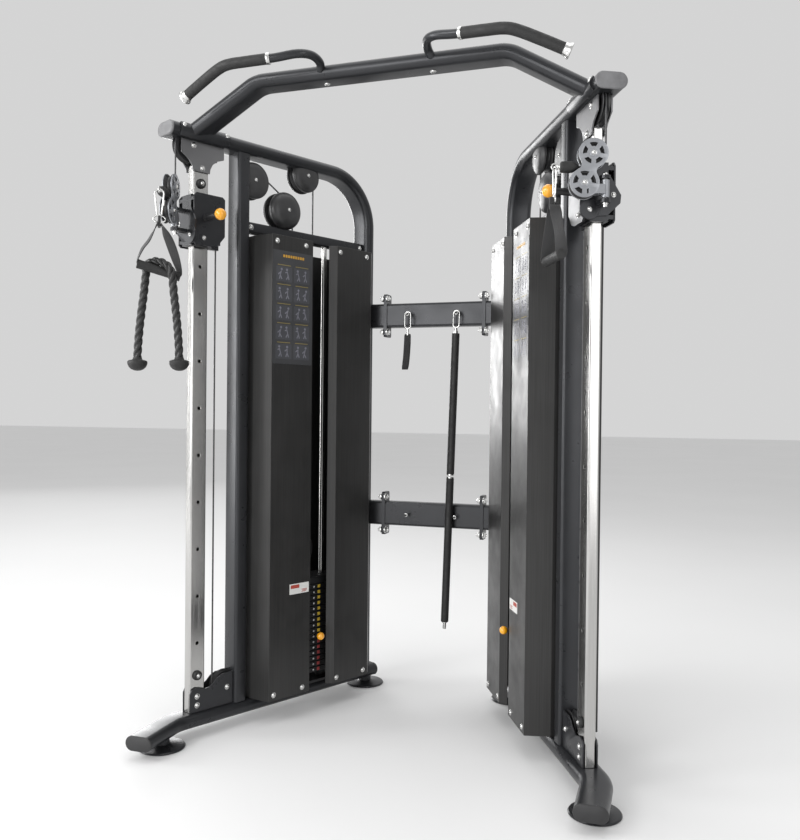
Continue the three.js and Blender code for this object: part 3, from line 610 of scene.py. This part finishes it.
def cables(side):
    matrix = tower_frame(side)
    (guide_s, guide_z), (entry_s, entry_z) = WHEELS["guide"], WHEELS["entry"]
    over = 90 + math.degrees(math.atan2(entry_z - guide_z, entry_s - guide_s))

    def round_wheel(which, start, end, steps):
        return arc_points(*WHEELS[which], WHEEL_GROOVE, start, end, steps)

    def straight(s, z0, z1, steps):
        return [Vector((s, 0, z0 + (z1 - z0) * k / steps)) for k in range(steps + 1)]

    def run(name, path, body=None, node=None):
        shell = round_tube(Shell(), path, CABLE_RADIUS, 12)
        return shell.piece(name, body, SHEATH, matrix, 60, "cable_sheath", [node] if node else ())

    def stretch(piece, body, s, z0, z1):
        tower(side, s, 0, z0)
        tower(side, s, 0, z1)
        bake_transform(piece)

    run(f"cable_top_run_{side}", round_wheel("top", 0, 90, 14) + round_wheel("crown", 90, 180, 14), "frame",
        f"main_cable_{side}")
    loop = straight(285, 2045, 602, 12)[:-1] + round_wheel("floating", 180, 360, 24)
    loop += straight(385, 602, 1894, 12)[1:]
    stretch(run(f"cable_stack_loop_{side}", loop), f"stack_{side}", STACK_S, 1890, 640)
    front = round_wheel("guide", 180, over, 10) + round_wheel("entry", over, 0, 16)
    run(f"cable_front_run_{side}", front + round_wheel("base", 180, 360, 24), "frame")
    upper = run(f"cable_upper_drop_{side}", straight(890, 2046, 1890, 8), None, f"upper_cable_{side}")
    stretch(upper, f"carriage_{side}", 890, 2040, 1893)
    lower = run(f"cable_lower_drop_{side}", straight(728, 147, 1705, 12), None, f"lower_cable_{side}")
    stretch(lower, f"carriage_{side}", 728, 150, 1700)


# ---------- weight stack
def stack(side):
    matrix = tower_frame(side)
    long, wide, head = 300, 110, 28
    top = STACK_BOTTOM + PLATE_PITCH * PLATES

    def plate(shell, z0, z1):
        section = box_section(long, wide, 6, 3)
        rings = []
        for z, shrink in ((z0 + 0.4, 2.0), (z0 + 2.0, 0), (z1 - 2.6, 0), (z1 - 1.0, 2.0)):
            along, across = 1 - shrink / (long / 2), 1 - shrink / (wide / 2)
            rings.append([Vector((STACK_S + a * along, b * across, z)) for a, b in section])
        shell.rings(rings)

    lifted, resting = [Shell() for _ in range(3)], [Shell() for _ in range(3)]
    for k in range(PLATES):
        z0 = STACK_BOTTOM + PLATE_PITCH * k
        plates, tags, dots = lifted if k >= SIDES[side]["pin_plate"] else resting
        plate(plates, z0, z0 + PLATE_PITCH)
        for face in (1, -1):
            out = IN * face
            tag_at, dot_at = (Vector((s, face * 55.1, z0 + 10.4)) for s in (281, 306))
            tags.sweep(box_section(12, 13, 1.5, 2), [tag_at, tag_at + out * 0.6], Z)
            dots.lathe([(0, 0), (3.6, 0), (3.6, 0.7), (0, 0.7)], dot_at, out, 16)
    plate(lifted[0], top, top + head)
    stem = STACK_BOTTOM + 6
    lifted[0].lathe([(0, stem), (10, stem), (10, 480), (0, 480)], (STACK_S, 0, 0), steps=24)
    for out in (1, -1):
        at = Vector((STACK_S, out * 15, 0))
        lifted[0].sweep(box_section(40, 4, 1, 2), [at + Z * 496, at + Z * 621], FORWARD)
    at = Vector((STACK_S, 0, 0))
    resting[0].sweep(box_section(long, wide, 3, 2), [at + Z * 84.5, at + Z * 94], FORWARD)
    rods = Shell()
    for s in ROD_S:
        resting[0].lathe([(0, 94), (22, 94), (23, 100), (23, 119), (22, 125), (0, 125)], (s, 0, 0), steps=24)
        rods.lathe([(0, 120), (11, 120), (11, 1789.7), (0, 1789.7)], (s, 0, 0), steps=28)
    groups = ("lifted", f"stack_{side}", lifted), ("resting", "frame", resting)
    kinds = ("plates", (IRON, IRON)), ("tags", (TAG, RED_TAG)), ("dots", (DOT, DOT))
    for k, (kind, finishes) in enumerate(kinds):
        for finish, (name, body, shells) in zip(finishes, groups):
            replaced = [f"{name}_stack_{side}"] if kind == "plates" else []
            shells[k].piece(f"{name}_{kind}_{side}", body, finish, matrix, 35, "stack_iron", replaced)
    rods.piece(f"guide_rods_{side}", "frame", CHROME, matrix, 35, "rail_chrome")


def knob(side, name, body, s, z, ball, radius, stem, start, collar, collar_radius):
    """A pull knob: a steel pin, a black collar and an amber ball; start, collar and ball are along n."""
    matrix = tower_frame(side)
    at = (s, 0, z)
    pin = [(0, start), (stem * 0.9, start), (stem, start + 2), (stem, collar + 2), (0, collar + 2)]
    Shell().lathe(pin, at, IN, 20).piece(f"{name}_shaft_{side}", body, BRIGHT, matrix, 35, "rail_chrome")
    near = ball - radius
    neck = [(0, collar), (collar_radius - 1, collar), (collar_radius, collar + 1),
            (collar_radius * 0.8, near + 3), (0, near + 6)]
    Shell().lathe(neck, at, IN, 28).piece(f"{name}_collar_{side}", body, NYLON, matrix, 35, "wheel_plastic")
    profile = [(0, near)]
    for degrees in range(28, 181, 8):
        turn = math.radians(degrees)
        profile.append((radius * math.sin(turn), ball - radius * math.cos(turn)))
    ball = Shell().lathe(profile, at, IN, 32)
    ball.piece(f"{name}_ball_{side}", body, AMBER, matrix, 60, "knob_plastic", [body])


# ---------- swivel
def arc_2d(x, y, radius, start, end, steps):
    """Points round an arc, both ends included, angles in radians."""
    angles = [start + (end - start) * i / steps for i in range(steps + 1)]
    return [(x + radius * math.cos(a), y + radius * math.sin(a)) for a in angles]


def windows(u, z, inner, outer, count=5):
    """Rounded openings between the spokes of a pulley plate."""
    wide = math.radians(23)
    narrow = wide * 0.72
    loops = []
    for k in range(count):
        middle = 2 * math.pi * k / count + math.pi / 2
        loops.append(arc_2d(u, z, outer, middle - wide, middle + wide, 6)
                     + arc_2d(u, z, inner, middle + narrow, middle - narrow, 4))
    return loops


def waisted(c1, c2, radius, fillet):
    """The outline round two equal circles, joined by fillets at the waist."""
    c1, c2 = Vector(c1), Vector(c2)
    along = (c2 - c1).normalized()
    side = Vector((-along.y, along.x))
    reach = math.sqrt((radius + fillet) ** 2 - ((c2 - c1).length / 2) ** 2)
    middle = (c1 + c2) / 2
    f1, f2 = middle + side * reach, middle - side * reach
    share = radius / (radius + fillet)
    p1, p2 = c1 + (f1 - c1) * share, c1 + (f2 - c1) * share
    q1, q2 = c2 + (f1 - c2) * share, c2 + (f2 - c2) * share
    outline = []
    for centre, start, end, way, count in ((c1, p1, p2, 1, 28), (f2, p2, q2, -1, 6),
                                           (c2, q2, q1, 1, 28), (f1, q1, p1, -1, 6)):
        first, last = start - centre, end - centre
        from_angle = math.atan2(first.y, first.x)
        sweep = way * ((way * (math.atan2(last.y, last.x) - from_angle)) % (2 * math.pi))
        outline += arc_2d(*centre, first.length, from_angle, from_angle + sweep, count)[:-1]
    return outline


def yoke(side):
    """The figure-eight plates, the hinge block and its bolts, the two wheels and the cable between them."""
    matrix = swivel_frame(side)
    body = f"yoke_{side}"
    plate_n = 14.5
    wheels = (YOKE_UPPER, YOKE_LOWER)
    holes = windows(*YOKE_UPPER, 19, 31) + windows(*YOKE_LOWER, 20, 33)
    points, faces = flat_plate(waisted(*wheels, 43, 16), holes, 3.4)
    plates = Shell()
    for out in (1, -1):
        plates.add([Vector((p.x, out * plate_n + p.z, p.y)) for p in points], faces)
        for u, z in wheels:
            plates.lathe([(0, 0), (12, 0), (12, 2.4), (10.5, 3), (0, 3)], (u, out * 15.8, z), (0, out, 0), 28)
    plates.piece(f"yoke_plates_{side}", body, SILVER, matrix, 35, "plate_steel", [body])
    block = Shell()
    block.sweep(box_section(32, 15, 2, 3), [Vector((10, 0, 1774)), Vector((10, 0, 1800))], IN)
    for out in (1, -1):
        at = Vector((27, out * plate_n, 0))
        block.sweep(box_section(3.2, 46, 0.8, 1), [at + Z * 1774, at + Z * 1801], IN)
    block.lathe([(0, 1764), (11, 1764), (12, 1765), (12, 1815), (11, 1816), (0, 1816)], (0, 0, 0), steps=32)
    block.piece(f"yoke_block_{side}", body, SILVER, matrix, 35, "plate_steel")
    pins = Shell()
    pins.lathe([(0, 1738), (6.4, 1738), (6.4, 1834), (0, 1834)], (0, 0, 0), steps=24)
    bolt(pins, (0, 0, 1831), Z, 8)
    bolt(pins, (0, 0, 1748), -Z, 8)
    for out in (1, -1):
        for u, z in wheels:
            bolt(pins, (u, out * 18.6, z), (0, out, 0), 6.5)
    pins.piece(f"yoke_bolts_{side}", body, BRIGHT, matrix, 40, "rail_chrome")
    for which, (u, z) in (("upper", YOKE_UPPER), ("lower", YOKE_LOWER)):
        pulley = f"yoke_pulley_{which}_{side}"
        wheel(f"yoke_wheel_{which}_{side}", pulley, (u, 0, z), IN, YOKE_RIM, YOKE_GROOVE, matrix)
    turn = round_tube(Shell(), arc_points(*YOKE_UPPER, YOKE_GROOVE, 180, 270, 12), CABLE_RADIUS, 12)
    turn.piece(f"cable_yoke_turn_{side}", body, SHEATH, matrix, 60, "cable_sheath")
    run = round_tube(Shell(), [Vector((37 + 44 * k / 6, 0, PULL_Z)) for k in range(7)], CABLE_RADIUS, 12)
    pull = run.piece(f"cable_pull_{side}", None, SHEATH, matrix, 60, "cable_sheath")
    start, end = (matrix @ Vector((u, 0, PULL_Z)) for u in (38, 79))
    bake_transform(pull)
    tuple(start)
    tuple(end)


def cable_end(side):
    matrix = swivel_frame(side)
    body = f"cable_end_{side}"
    axis = (0, 0, PULL_Z)
    stop = Shell().lathe([(0, 78), (5, 78), (7, 79), (11, 86), (15, 92), (16.3, 96), (16.5, 100), (16.5, 124),
                          (15.5, 128), (12, 131), (0, 132)], axis, FORWARD, 36)
    stop.piece(f"stop_{side}", body, RUBBER, matrix, 40, "stop_rubber", [f"cable_stop_{side}"])
    eye = Shell().lathe([(0, 129), (6, 129), (6, 134), (4.5, 136), (0, 137)], axis, FORWARD, 24)
    loop = [Vector((EYE_U + a, 0, PULL_Z + b)) for a, b in round_section(9, 28)]
    eye.sweep(round_section(2.3, 10), loop, IN, closed=True)
    eye.piece(f"eye_{side}", body, BRIGHT, matrix, 50, "rail_chrome")


def twisted_band(shell, path, width, thick, turn):
    """A band along a path in the XZ plane: flat across Y at its first end, turned a little at its middle."""
    rings = []
    for i, (point, tangent) in enumerate(zip(path, tangents(path))):
        side = tangent.cross(IN).normalized()
        angle = turn * math.sin(math.pi * min(1, i / (len(path) - 1) * 1.15)) ** 2
        across = IN * math.cos(angle) + side * math.sin(angle)
        normal = tangent.cross(across).normalized()
        rings.append([point + across * a + normal * b for a, b in box_section(width, thick, 1.1, 2)])
    return shell.rings(rings)


def ring_path(width, height, bar, hang, bow=1.0):
    """The centre line of a clip in the XZ plane, hung by its upper bow; the lower bow can be narrower."""
    radius = (width - bar) / 2
    top, bottom = hang - bar / 2 - radius, hang - height + bar / 2 + radius * bow
    return arc_points(0, top, radius, 0, 180, 14) + arc_points(0, bottom, radius * bow, 180, 360, 14)


# ---------- stirrup handle and rope
def handle(side):
    matrix = handle_frame(side)
    body = f"handle_{side}"
    tilt = math.radians(SIDES[side]["tilt"])
    clip = Shell().sweep(round_section(2.7, 12), ring_path(34, 90, 5.4, 2.7, 0.55), IN, closed=True)
    clip.lathe([(0, 0), (3.7, 0), (3.7, 18), (0, 18)], (12.6, 0, -52), (0.11, 0, 1), 20)
    dee = [Vector((19 * b, 3 * b, -96 + 11 * a)) for a, b in round_section(1, 32)]
    clip.sweep(round_section(2.4, 10), dee, IN, closed=True)
    clip.piece(f"handle_clip_{side}", body, BRIGHT, matrix, 50, "rail_chrome")

    strap = Shell()
    for way, turn in ((1, 55), (-1, 20)):
        slope = -way * math.tan(tilt)
        leg = [(66, GRIP_Z - 2 + 66 * slope), (67, GRIP_Z + 10 + 67 * slope), (52, -208 + 45 * slope),
               (33, -168), (17, -135), (8, -116), (0, -106)]
        twisted_band(strap, smooth_path([(way * x, 0, z) for x, z in leg], 8), 33, 2.8, math.radians(turn))
    strap.sweep(box_section(30, 9, 3, 3), [Z * -88, Z * -122], IN)
    strap.piece(f"handle_strap_{side}", body, WEBBING, matrix, 50, "webbing")
    stitches = Shell()
    for x in (4.6, -4.6):
        for z in (-102, -117):
            at = Vector((x, 0, z))
            stitches.sweep(box_section(22, 1.2, 0.4, 1), [at, at - Z * 1.2], IN)
    stitches.piece(f"handle_stitches_{side}", body, THREAD, matrix, 50, "webbing")
    half = [(14.6, 63), (15, 64), (15, 68.5), (13.5, 70), (0, 70)]
    profile = [(radius, -x) for radius, x in reversed(half)] + half
    grip = Shell().lathe(profile, (0, 0, GRIP_Z), (math.cos(tilt), 0, -math.sin(tilt)), 36)
    grip.piece(f"handle_grip_{side}", body, FOAM, matrix, 35, "stop_rubber", [f"handle_{side}"])


def rope_route():
    """The rope's centre line, the same points as the CAD solid's, from one end to the other."""
    tilt = math.radians(SIDES["left"]["tilt"])
    wrap = []
    for x, degrees in ((0, 0), (16, 25), (28, 50), (37, 75)):
        turn = math.radians(degrees)
        wrap.append((x, -29 * math.sin(turn), GRIP_Z + 29 * math.cos(turn)))
    tail = [(x, -30, z) for x, z in ((42, -290), (47, -340), (54, -400), (60, -460), (64, -520), (65, -566))]
    half = wrap + tail
    points = [(-x, -y, z) for x, y, z in half[:0:-1]] + half
    return [Vector((x, y, z - x * math.tan(tilt) if z > -280 else z)) for x, y, z in points]


def rope():
    matrix = handle_frame("left")
    path = smooth_path(rope_route(), 14)
    lengths = [0.0]
    for a, b in zip(path, path[1:]):
        lengths.append(lengths[-1] + (b - a).length)
    steps = 48
    rings = []
    for length, (point, normal, other) in zip(lengths, carried_frames(path)):
        twist = 2 * math.pi * length / ROPE_LAY
        ring = []
        for k in range(steps):
            angle = 2 * math.pi * k / steps
            groove = abs(math.cos(ROPE_STRANDS * (angle - twist) / 2))
            radius = ROPE_RADIUS * (0.52 + 0.48 * groove ** 0.45)
            ring.append(point + normal * (radius * math.cos(angle)) + other * (radius * math.sin(angle)))
        rings.append(ring)
    piece = Shell().rings(rings)
    piece = piece.piece("triceps_rope", "handle_left", ROPE, matrix, 60, "rope_nylon", ["rope_left"])
    ends = Shell()
    bulb = [(0, -22), (10, -21), (20, -16.5), (27, -9.5), (31, -1), (32, 6), (30.5, 10), (26, 12.5),
            (17, 14.5), (15, 17), (14, 22), (0, 22)]
    for tip in (path[0], path[-1]):
        ends.lathe(bulb, tip, Z, 40)
    ends = ends.piece("rope_ends", "handle_left", RUBBER, matrix, 40, "stop_rubber")
    world = [matrix @ p for p in path]
    tuple(world[0])
    [tuple(p) for p in world]


rope()
for tower_side in SIDES:
    base_tube(tower_side)
    top_rail(tower_side)
    pulley_covers(tower_side)
    front_post(tower_side)
    frame_wheels(tower_side)
    cables(tower_side)
    stack(tower_side)
    pin_z = STACK_BOTTOM + PLATE_PITCH * (SIDES[tower_side]["pin_plate"] + 0.5)
    knob(tower_side, "selector", f"selector_pin_{tower_side}", STACK_S, pin_z, 132, 14.5, 5.2, 1, 111, 8)
    knob(tower_side, "pull_knob", f"pull_pin_{tower_side}", RAIL_HOLE_S, 1801, 140, 20, 5.0, 18.2, 62.6, 12)
    yoke(tower_side)
    cable_end(tower_side)
    handle(tower_side)
    for cad_node, finish, edge in (("adjust_rail", CHROME, 1.2), ("top_bracket", GUSSET, 0.8),
                                   ("base_bracket", PAINT, 0.8), ("rear_cover", COVER, 1.2),
                                   ("front_cover", COVER, 1.2), ("carriage", PAINT, 1.2)):
        finish_node(f"{cad_node}_{tower_side}", finish, edge)


# ---------- bolts and small fittings
def fittings(side):
    matrix = tower_frame(side)
    places = []
    for out in (1, -1):
        way = IN * out
        places += [((s, out * 126, z), way) for s in (110, 249, 418, 550) for z in (110, 1752)]
        brackets = ((834, 2050), (799, 1977), (803, 140), (803, 109), (680, 147))
        places += [((s, out * 24.2, z), way) for s, z in brackets]
        places += [((s, out * 20, 1809), way) for s in (50, 590)]
    bolts(f"tower_bolts_{side}", "frame", places, matrix)
    bolts(f"rail_bolts_{side}", "frame", [((s, 48, 2102), (0, 0.9, 0.44)) for s in (884, 715)], matrix, 9)
    stops, stop_bolts = Shell(), Shell()
    for z in (1925, 212):
        stops.lathe([(0, 0), (16, 0), (17, 2), (16, 7), (13, 10), (0, 10)], (RAIL_HOLE_S, 17.6, z), IN, 32)
        bolt(stop_bolts, (RAIL_HOLE_S, 27.4, z), IN, 6.5)
    stops.piece(f"rail_stops_{side}", "frame", RUBBER, matrix, 35, "stop_rubber")
    stop_bolts.piece(f"rail_stop_bolts_{side}", "frame", BRIGHT, matrix, 40, "rail_chrome")
    profile = [(0, 0), (30, 0), (31, 1), (31, 8), (29.5, 9.5), (0, 9.5)]
    lobe = Shell().lathe(profile, (842, 31, 1741), FORWARD, 40)
    lobe.piece(f"swivel_plate_lobe_{side}", f"carriage_{side}", PAINT, matrix, 35, "frame_paint")
    places = [((851.5, 31, 1741), FORWARD), ((850, -42, 1786), FORWARD), ((806, 50, 1732), IN),
              ((806, -50, 1732), OUT), ((736, -50, 1860), OUT), ((806, -50, 1860), OUT)]
    bolts(f"carriage_bolts_{side}", f"carriage_{side}", places, matrix, 6.5)
    profile = [(0, 50), (12.5, 50), (12.5, 60), (11.5, 61.5), (0, 61.5)]
    housing = Shell().lathe(profile, (RAIL_HOLE_S, 0, 1801), IN, 32)
    housing.piece(f"pin_housing_{side}", f"carriage_{side}", NYLON, matrix, 35, "wheel_plastic")


for tower_side in SIDES:
    fittings(tower_side)


# ---------- pull-up bar
def saddle(shell, side):
    """The shoe that joins the pull-up bar to one top rail, in the machine's millimetres."""
    turns = [math.radians(t) for t in range(-52, 53, 8)]
    section = [(30 * math.cos(t), 30 * math.sin(t)) for t in turns]
    section += [(24.3 * math.cos(t), 24.3 * math.sin(t)) for t in reversed(turns)]
    rings = []
    for s, tall in ((702, 0.86), (706, 1), (894, 1), (898, 0.86)):
        rings.append([in_machine(tower(side, s, 24 + a, 2090 + b * tall)) for a, b in section])
    shell.rings(rings)


def pullup_bar():
    """The bent bar with its two padded handles."""
    y, top, bend_x, radius = -743, 2236, 425, 110
    slope = math.atan2(top - 2108, 640 - bend_x)
    reach = radius * math.tan(slope / 2)
    half = [Vector((-700, y, top - 275 * math.tan(slope)))]
    for k in range(13):
        turn = slope * (1 - k / 12)
        x = reach - bend_x - radius * math.sin(turn)
        half.append(Vector((x, y, top - radius * (1 - math.cos(turn)))))
    path = half + [Vector((-p.x, p.y, p.z)) for p in reversed(half)]
    trims = [(in_machine(tower(side, 700, 34, 2090)), tower_direction(side, 0, 1)) for side in SIDES]
    bar = Shell().sweep(oval(*TUBE), path, IN, trim=trims)
    for side in SIDES:
        saddle(bar, side)
    points = [(186, -784, 2240), (180, -806, 2256), (190, -846, 2264), (224, -882, 2259), (292, -905, 2245),
              (380, -921, 2237), (440, -928, 2232), (480, -924, 2222), (550, -907, 2193), (622, -888, 2161)]
    grips, trim = Shell(), Shell()
    for mirror in (1, -1):
        whole = smooth_path([(mirror * x, y, z) for x, y, z in points], 8)
        round_tube(bar, whole[:-2], 13.5, 24)
        grip = whole[34:-1]
        round_tube(grips, grip, 17, 28)
        collar = [(0, -2), (17.8, -2), (18.2, 0), (18.2, 7), (17, 9), (0, 9)]
        trim.lathe(collar, grip[0], grip[0] - grip[1], 32)
        cap = [(0, -8), (18, -8), (18.5, 0), (21, 5), (23, 8), (23, 12), (21, 13.5), (0, 13.5)]
        trim.lathe(cap, whole[-2], whole[-1] - whole[-3], 36)
    bar.piece("pullup_frame", "frame", PAINT, MACHINE, 40, "frame_paint", ["pullup_bar"])
    grips.piece("pullup_grips", "frame", FOAM, MACHINE, 40, "bar_rubber")
    trim.piece("pullup_trim", "frame", BRIGHT, MACHINE, 40, "rail_chrome")
    bolts("pullup_bolts", "frame", [((x, y, 2212), -Z) for x in (-180, 180)], MACHINE)


pullup_bar()


# ---------- crossbeams and what hangs on them
def nut(shell, at, out):
    """A washer, a hexagon nut and the end of its stud."""
    shell.lathe([(0, -1), (13, -1), (13, 2), (0, 2)], at, out, 24)
    shell.lathe([(0, 1), (10, 1), (11, 2.2), (11, 9.5), (9.8, 10.5), (0, 10.5)], at, out, 6)
    shell.lathe([(0, 9), (5, 9), (5, 14), (4, 15), (0, 15)], at, out, 16)


def crossbeams():
    nuts, heads = Shell(), Shell()
    for name, z, length in (("upper", HOOK_Z, 36), ("lower", 728.5, 27)):
        finish_node(f"crossbeam_{name}", PAINT, 1.0)
        for x, rise, way in itertools.product((-203, 203), (-67, 67), (-1, 1)):
            nut(nuts, (x + way * 7, -70, z + rise), (way, 0, 0))
        pin = [(0, 0), (5.2, 0), (5.2, length - 3), (7.5, length - 3), (7.5, length - 0.8), (6.5, length),
               (0, length)]
        for x in (-HOOK_X, HOOK_X):
            heads.lathe(pin, (x, -70, z), OUT, 24)
    nuts.piece("flange_bolts", "frame", BRIGHT, MACHINE, 40, "rail_chrome")
    heads.piece("hook_pins", "frame", BRIGHT, MACHINE, 40, "rail_chrome")


def hooked_frame(x, lean):
    """Matrix from the frame of what hangs on an upper hook pin (z up from the pin) to the row frame."""
    place = Matrix.Translation(machine(x, -96, HOOK_Z))
    return place @ Matrix.Rotation(lean, 4, "Y") @ Matrix.Scale(0.001, 4)


def hook_clip():
    return Shell().sweep(round_section(3, 12), ring_path(30, 72, 6, 11.8), IN, closed=True)


def long_bar():
    matrix = hooked_frame(HOOK_X, math.radians(1.65))
    clip = hook_clip()
    clip.lathe([(0, -60), (5, -60), (6, -64), (6, -76), (0, -76)], steps=24)
    clip.lathe([(0, -70), (8, -70), (9, -73), (9, -82), (0, -82)], steps=28)
    for z in (-631, -642):
        clip.lathe([(0, z), (15.6, z), (15.6, z - 5), (0, z - 5)], steps=32)
    tip = [(0, -1210), (11, -1210), (11, -1216), (7, -1218), (7, -1236), (6, -1241), (0, -1242)]
    clip.lathe(tip, steps=28)
    clip.piece("bar_fittings", "long_bar", BRIGHT, matrix, 40, "rail_chrome")
    sleeve = Shell()
    for top, bottom in ((-80, -633), (-645, -1213)):
        profile = [(0, top), (13.5, top), (15, top - 2), (15, bottom + 2), (13.5, bottom), (0, bottom)]
        sleeve.lathe(profile, steps=36)
    sleeve.piece("bar_sleeves", "long_bar", FOAM, matrix, 35, "bar_rubber", ["long_bar"])


def short_strap():
    matrix = hooked_frame(-HOOK_X, 0)
    clip = hook_clip()
    clip.lathe([(0, -58), (5, -58), (5, -84), (0, -84)], steps=20)
    clip.piece("strap_clip", "short_strap", BRIGHT, matrix, 40, "rail_chrome")
    loop = [(0, 0, -80), (0, -5, -90), (-1, -6.5, -120), (-4, -6.5, -170), (-8, -6, -206), (-10, 0, -219),
            (-8, 6, -206), (-4, 6.5, -170), (-1, 6.5, -120), (0, 5, -90)]
    path = smooth_path(loop + [loop[0]], 6)[:-1]
    band = Shell().sweep(box_section(24, 3.2, 1.0, 2), path, FORWARD, closed=True)
    band.sweep(box_section(25, 15, 3, 3), [(0, 0, -86), (-0.6, 0, -108)], FORWARD)
    band.piece("hanging_strap", "short_strap", WEBBING, matrix, 50, "webbing", ["short_strap"])


crossbeams()
long_bar()
short_strap()


# ---------- placards and stickers
def figure(shell, s, z, lean):
    """A little figure of a head and four strokes."""
    shell.lathe([(0, 0), (4.5, 0), (4.5, 0.4), (0, 0.4)], (s + lean * 4, COVER_FACE + 0.8, z + 44), IN, 16)
    hips, shoulders = (s - lean * 2, 22), s + lean * 3
    for a, b in (((shoulders, 38), hips), (hips, (s - 6, 8)), (hips, (s + 6, 8)),
                 ((shoulders, 36), (s + 11, 28 + 4 * lean))):
        ends = [(at, COVER_FACE + 0.9, z + rise) for at, rise in (a, b)]
        shell.sweep(box_section(0.4, 4, 0.15, 1), ends, IN)


def placards(side):
    """A generic exercise placard and a generic care label on the front cover's inner face."""
    matrix = tower_frame(side)
    base, cells, lines, marks, title, label, patch = [Shell() for _ in range(7)]

    def panel(shell, s0, s1, z0, z1, above=0.5, thick=0.3, corner=3.0):
        at = Vector(((s0 + s1) / 2, COVER_FACE + above, (z0 + z1) / 2))
        shell.sweep(box_section(z1 - z0, s1 - s0, corner, 3), [at, at + IN * thick], Z)

    panel(base, 387, 569, 1310, 1720, -0.3, 0.8, 5)
    for k in range(9):
        panel(title, 428 + 11 * k, 436 + 11 * k, 1696, 1706, corner=1.5)
    for row, column in itertools.product(range(5), range(2)):
        s0, z0 = 401 + 82 * column, 1328 + 70 * row
        panel(cells, s0, s0 + 72, z0, z0 + 54)
        panel(lines, s0 + 6, s0 + 66, z0 + 58, z0 + 61, corner=1)
        for k in range(2):
            figure(marks, s0 + 20 + 32 * k, z0, (row + column + k) % 3 - 1)
    panel(label, 391, 481, 463, 501, -0.2, 0.7, 2)
    panel(patch, 436, 476, 484, 497, corner=2)
    for k in range(3):
        panel(patch, 398 + 3 * k, 426 - 4 * (k % 2), 476 - 4 * k, 478 - 4 * k, corner=0.9)
    for shell, name, ink in ((base, "placard", PLACARD), (lines, "placard_lines", LINE),
                             (cells, "placard_cells", CELL), (marks, "placard_figures", FIGURE),
                             (title, "placard_title", TITLE), (label, "care_label", LABEL),
                             (patch, "care_label_marks", PATCH)):
        shell.piece(f"{name}_{side}", "frame", ink, matrix, 35, "cover_paint")


for tower_side in SIDES:
    placards(tower_side)


# ---------- floor and light
def surroundings():
    mesh = bpy.data.meshes.new("floor")
    size = 40
    corners = [(-size, -size, 0), (size, -size, 0), (size, size, 0), (-size, size, 0)]
    mesh.from_pydata(corners, [], [(0, 1, 2, 3)])
    m = Nodes("pale_floor", (0.8, 0.8, 0.8), 0.85)
    m.color(m.noise(0.6, 2), [(0.3, (0.79, 0.79, 0.79)), (0.7, (0.81, 0.81, 0.81))])
    mesh.materials.append(m.material)
    floor = bpy.data.objects.new("floor", mesh)
    bpy.context.scene.collection.objects.link(floor)
    world = bpy.data.worlds.new("studio")
    bpy.context.scene.world = world
    world.use_nodes = True
    background = world.node_tree.nodes["Background"]
    background.inputs["Color"].default_value = (1, 1, 1, 1)
    background.inputs["Strength"].default_value = 0.66
    bpy.context.scene.view_settings.view_transform = "Standard"

    def softbox(name, at, size_x, size_y, power, target, spread=180):
        light = bpy.data.lights.new(name, "AREA")
        light.shape = "RECTANGLE"
        light.size, light.size_y = size_x, size_y
        light.energy = power
        light.spread = math.radians(spread)
        lamp = bpy.data.objects.new(name, light)
        bpy.context.scene.collection.objects.link(lamp)
        lamp.location = at
        lamp.visible_camera = False
        lamp.rotation_euler = (Vector(target) - Vector(at)).to_track_quat("-Z", "Y").to_euler()

    softbox("left", (-8.0, -2.7, 2.2), 2.3, 5.4, 330, (0, 0, 1.2))
    softbox("back", (-8.0, 8.6, 3.2), 4.4, 4.6, 55, (0, 0, 1.9), 60)
    softbox("key", (-2.6, -3.4, 3.4), 1.6, 1.6, 60, (0, 0, 1.1))
    softbox("side", (6.0, -4.3, 2.2), 2.0, 5.2, 70, (0, 0, 1.1))
    softbox("front", (-1.8, -6.5, 2.0), 3.4, 3.0, 150, (0, 0, 1.1))
    softbox("top", (0, 0.4, 5.0), 5.0, 5.0, 90, (0, 0, 0.8))


surroundings()
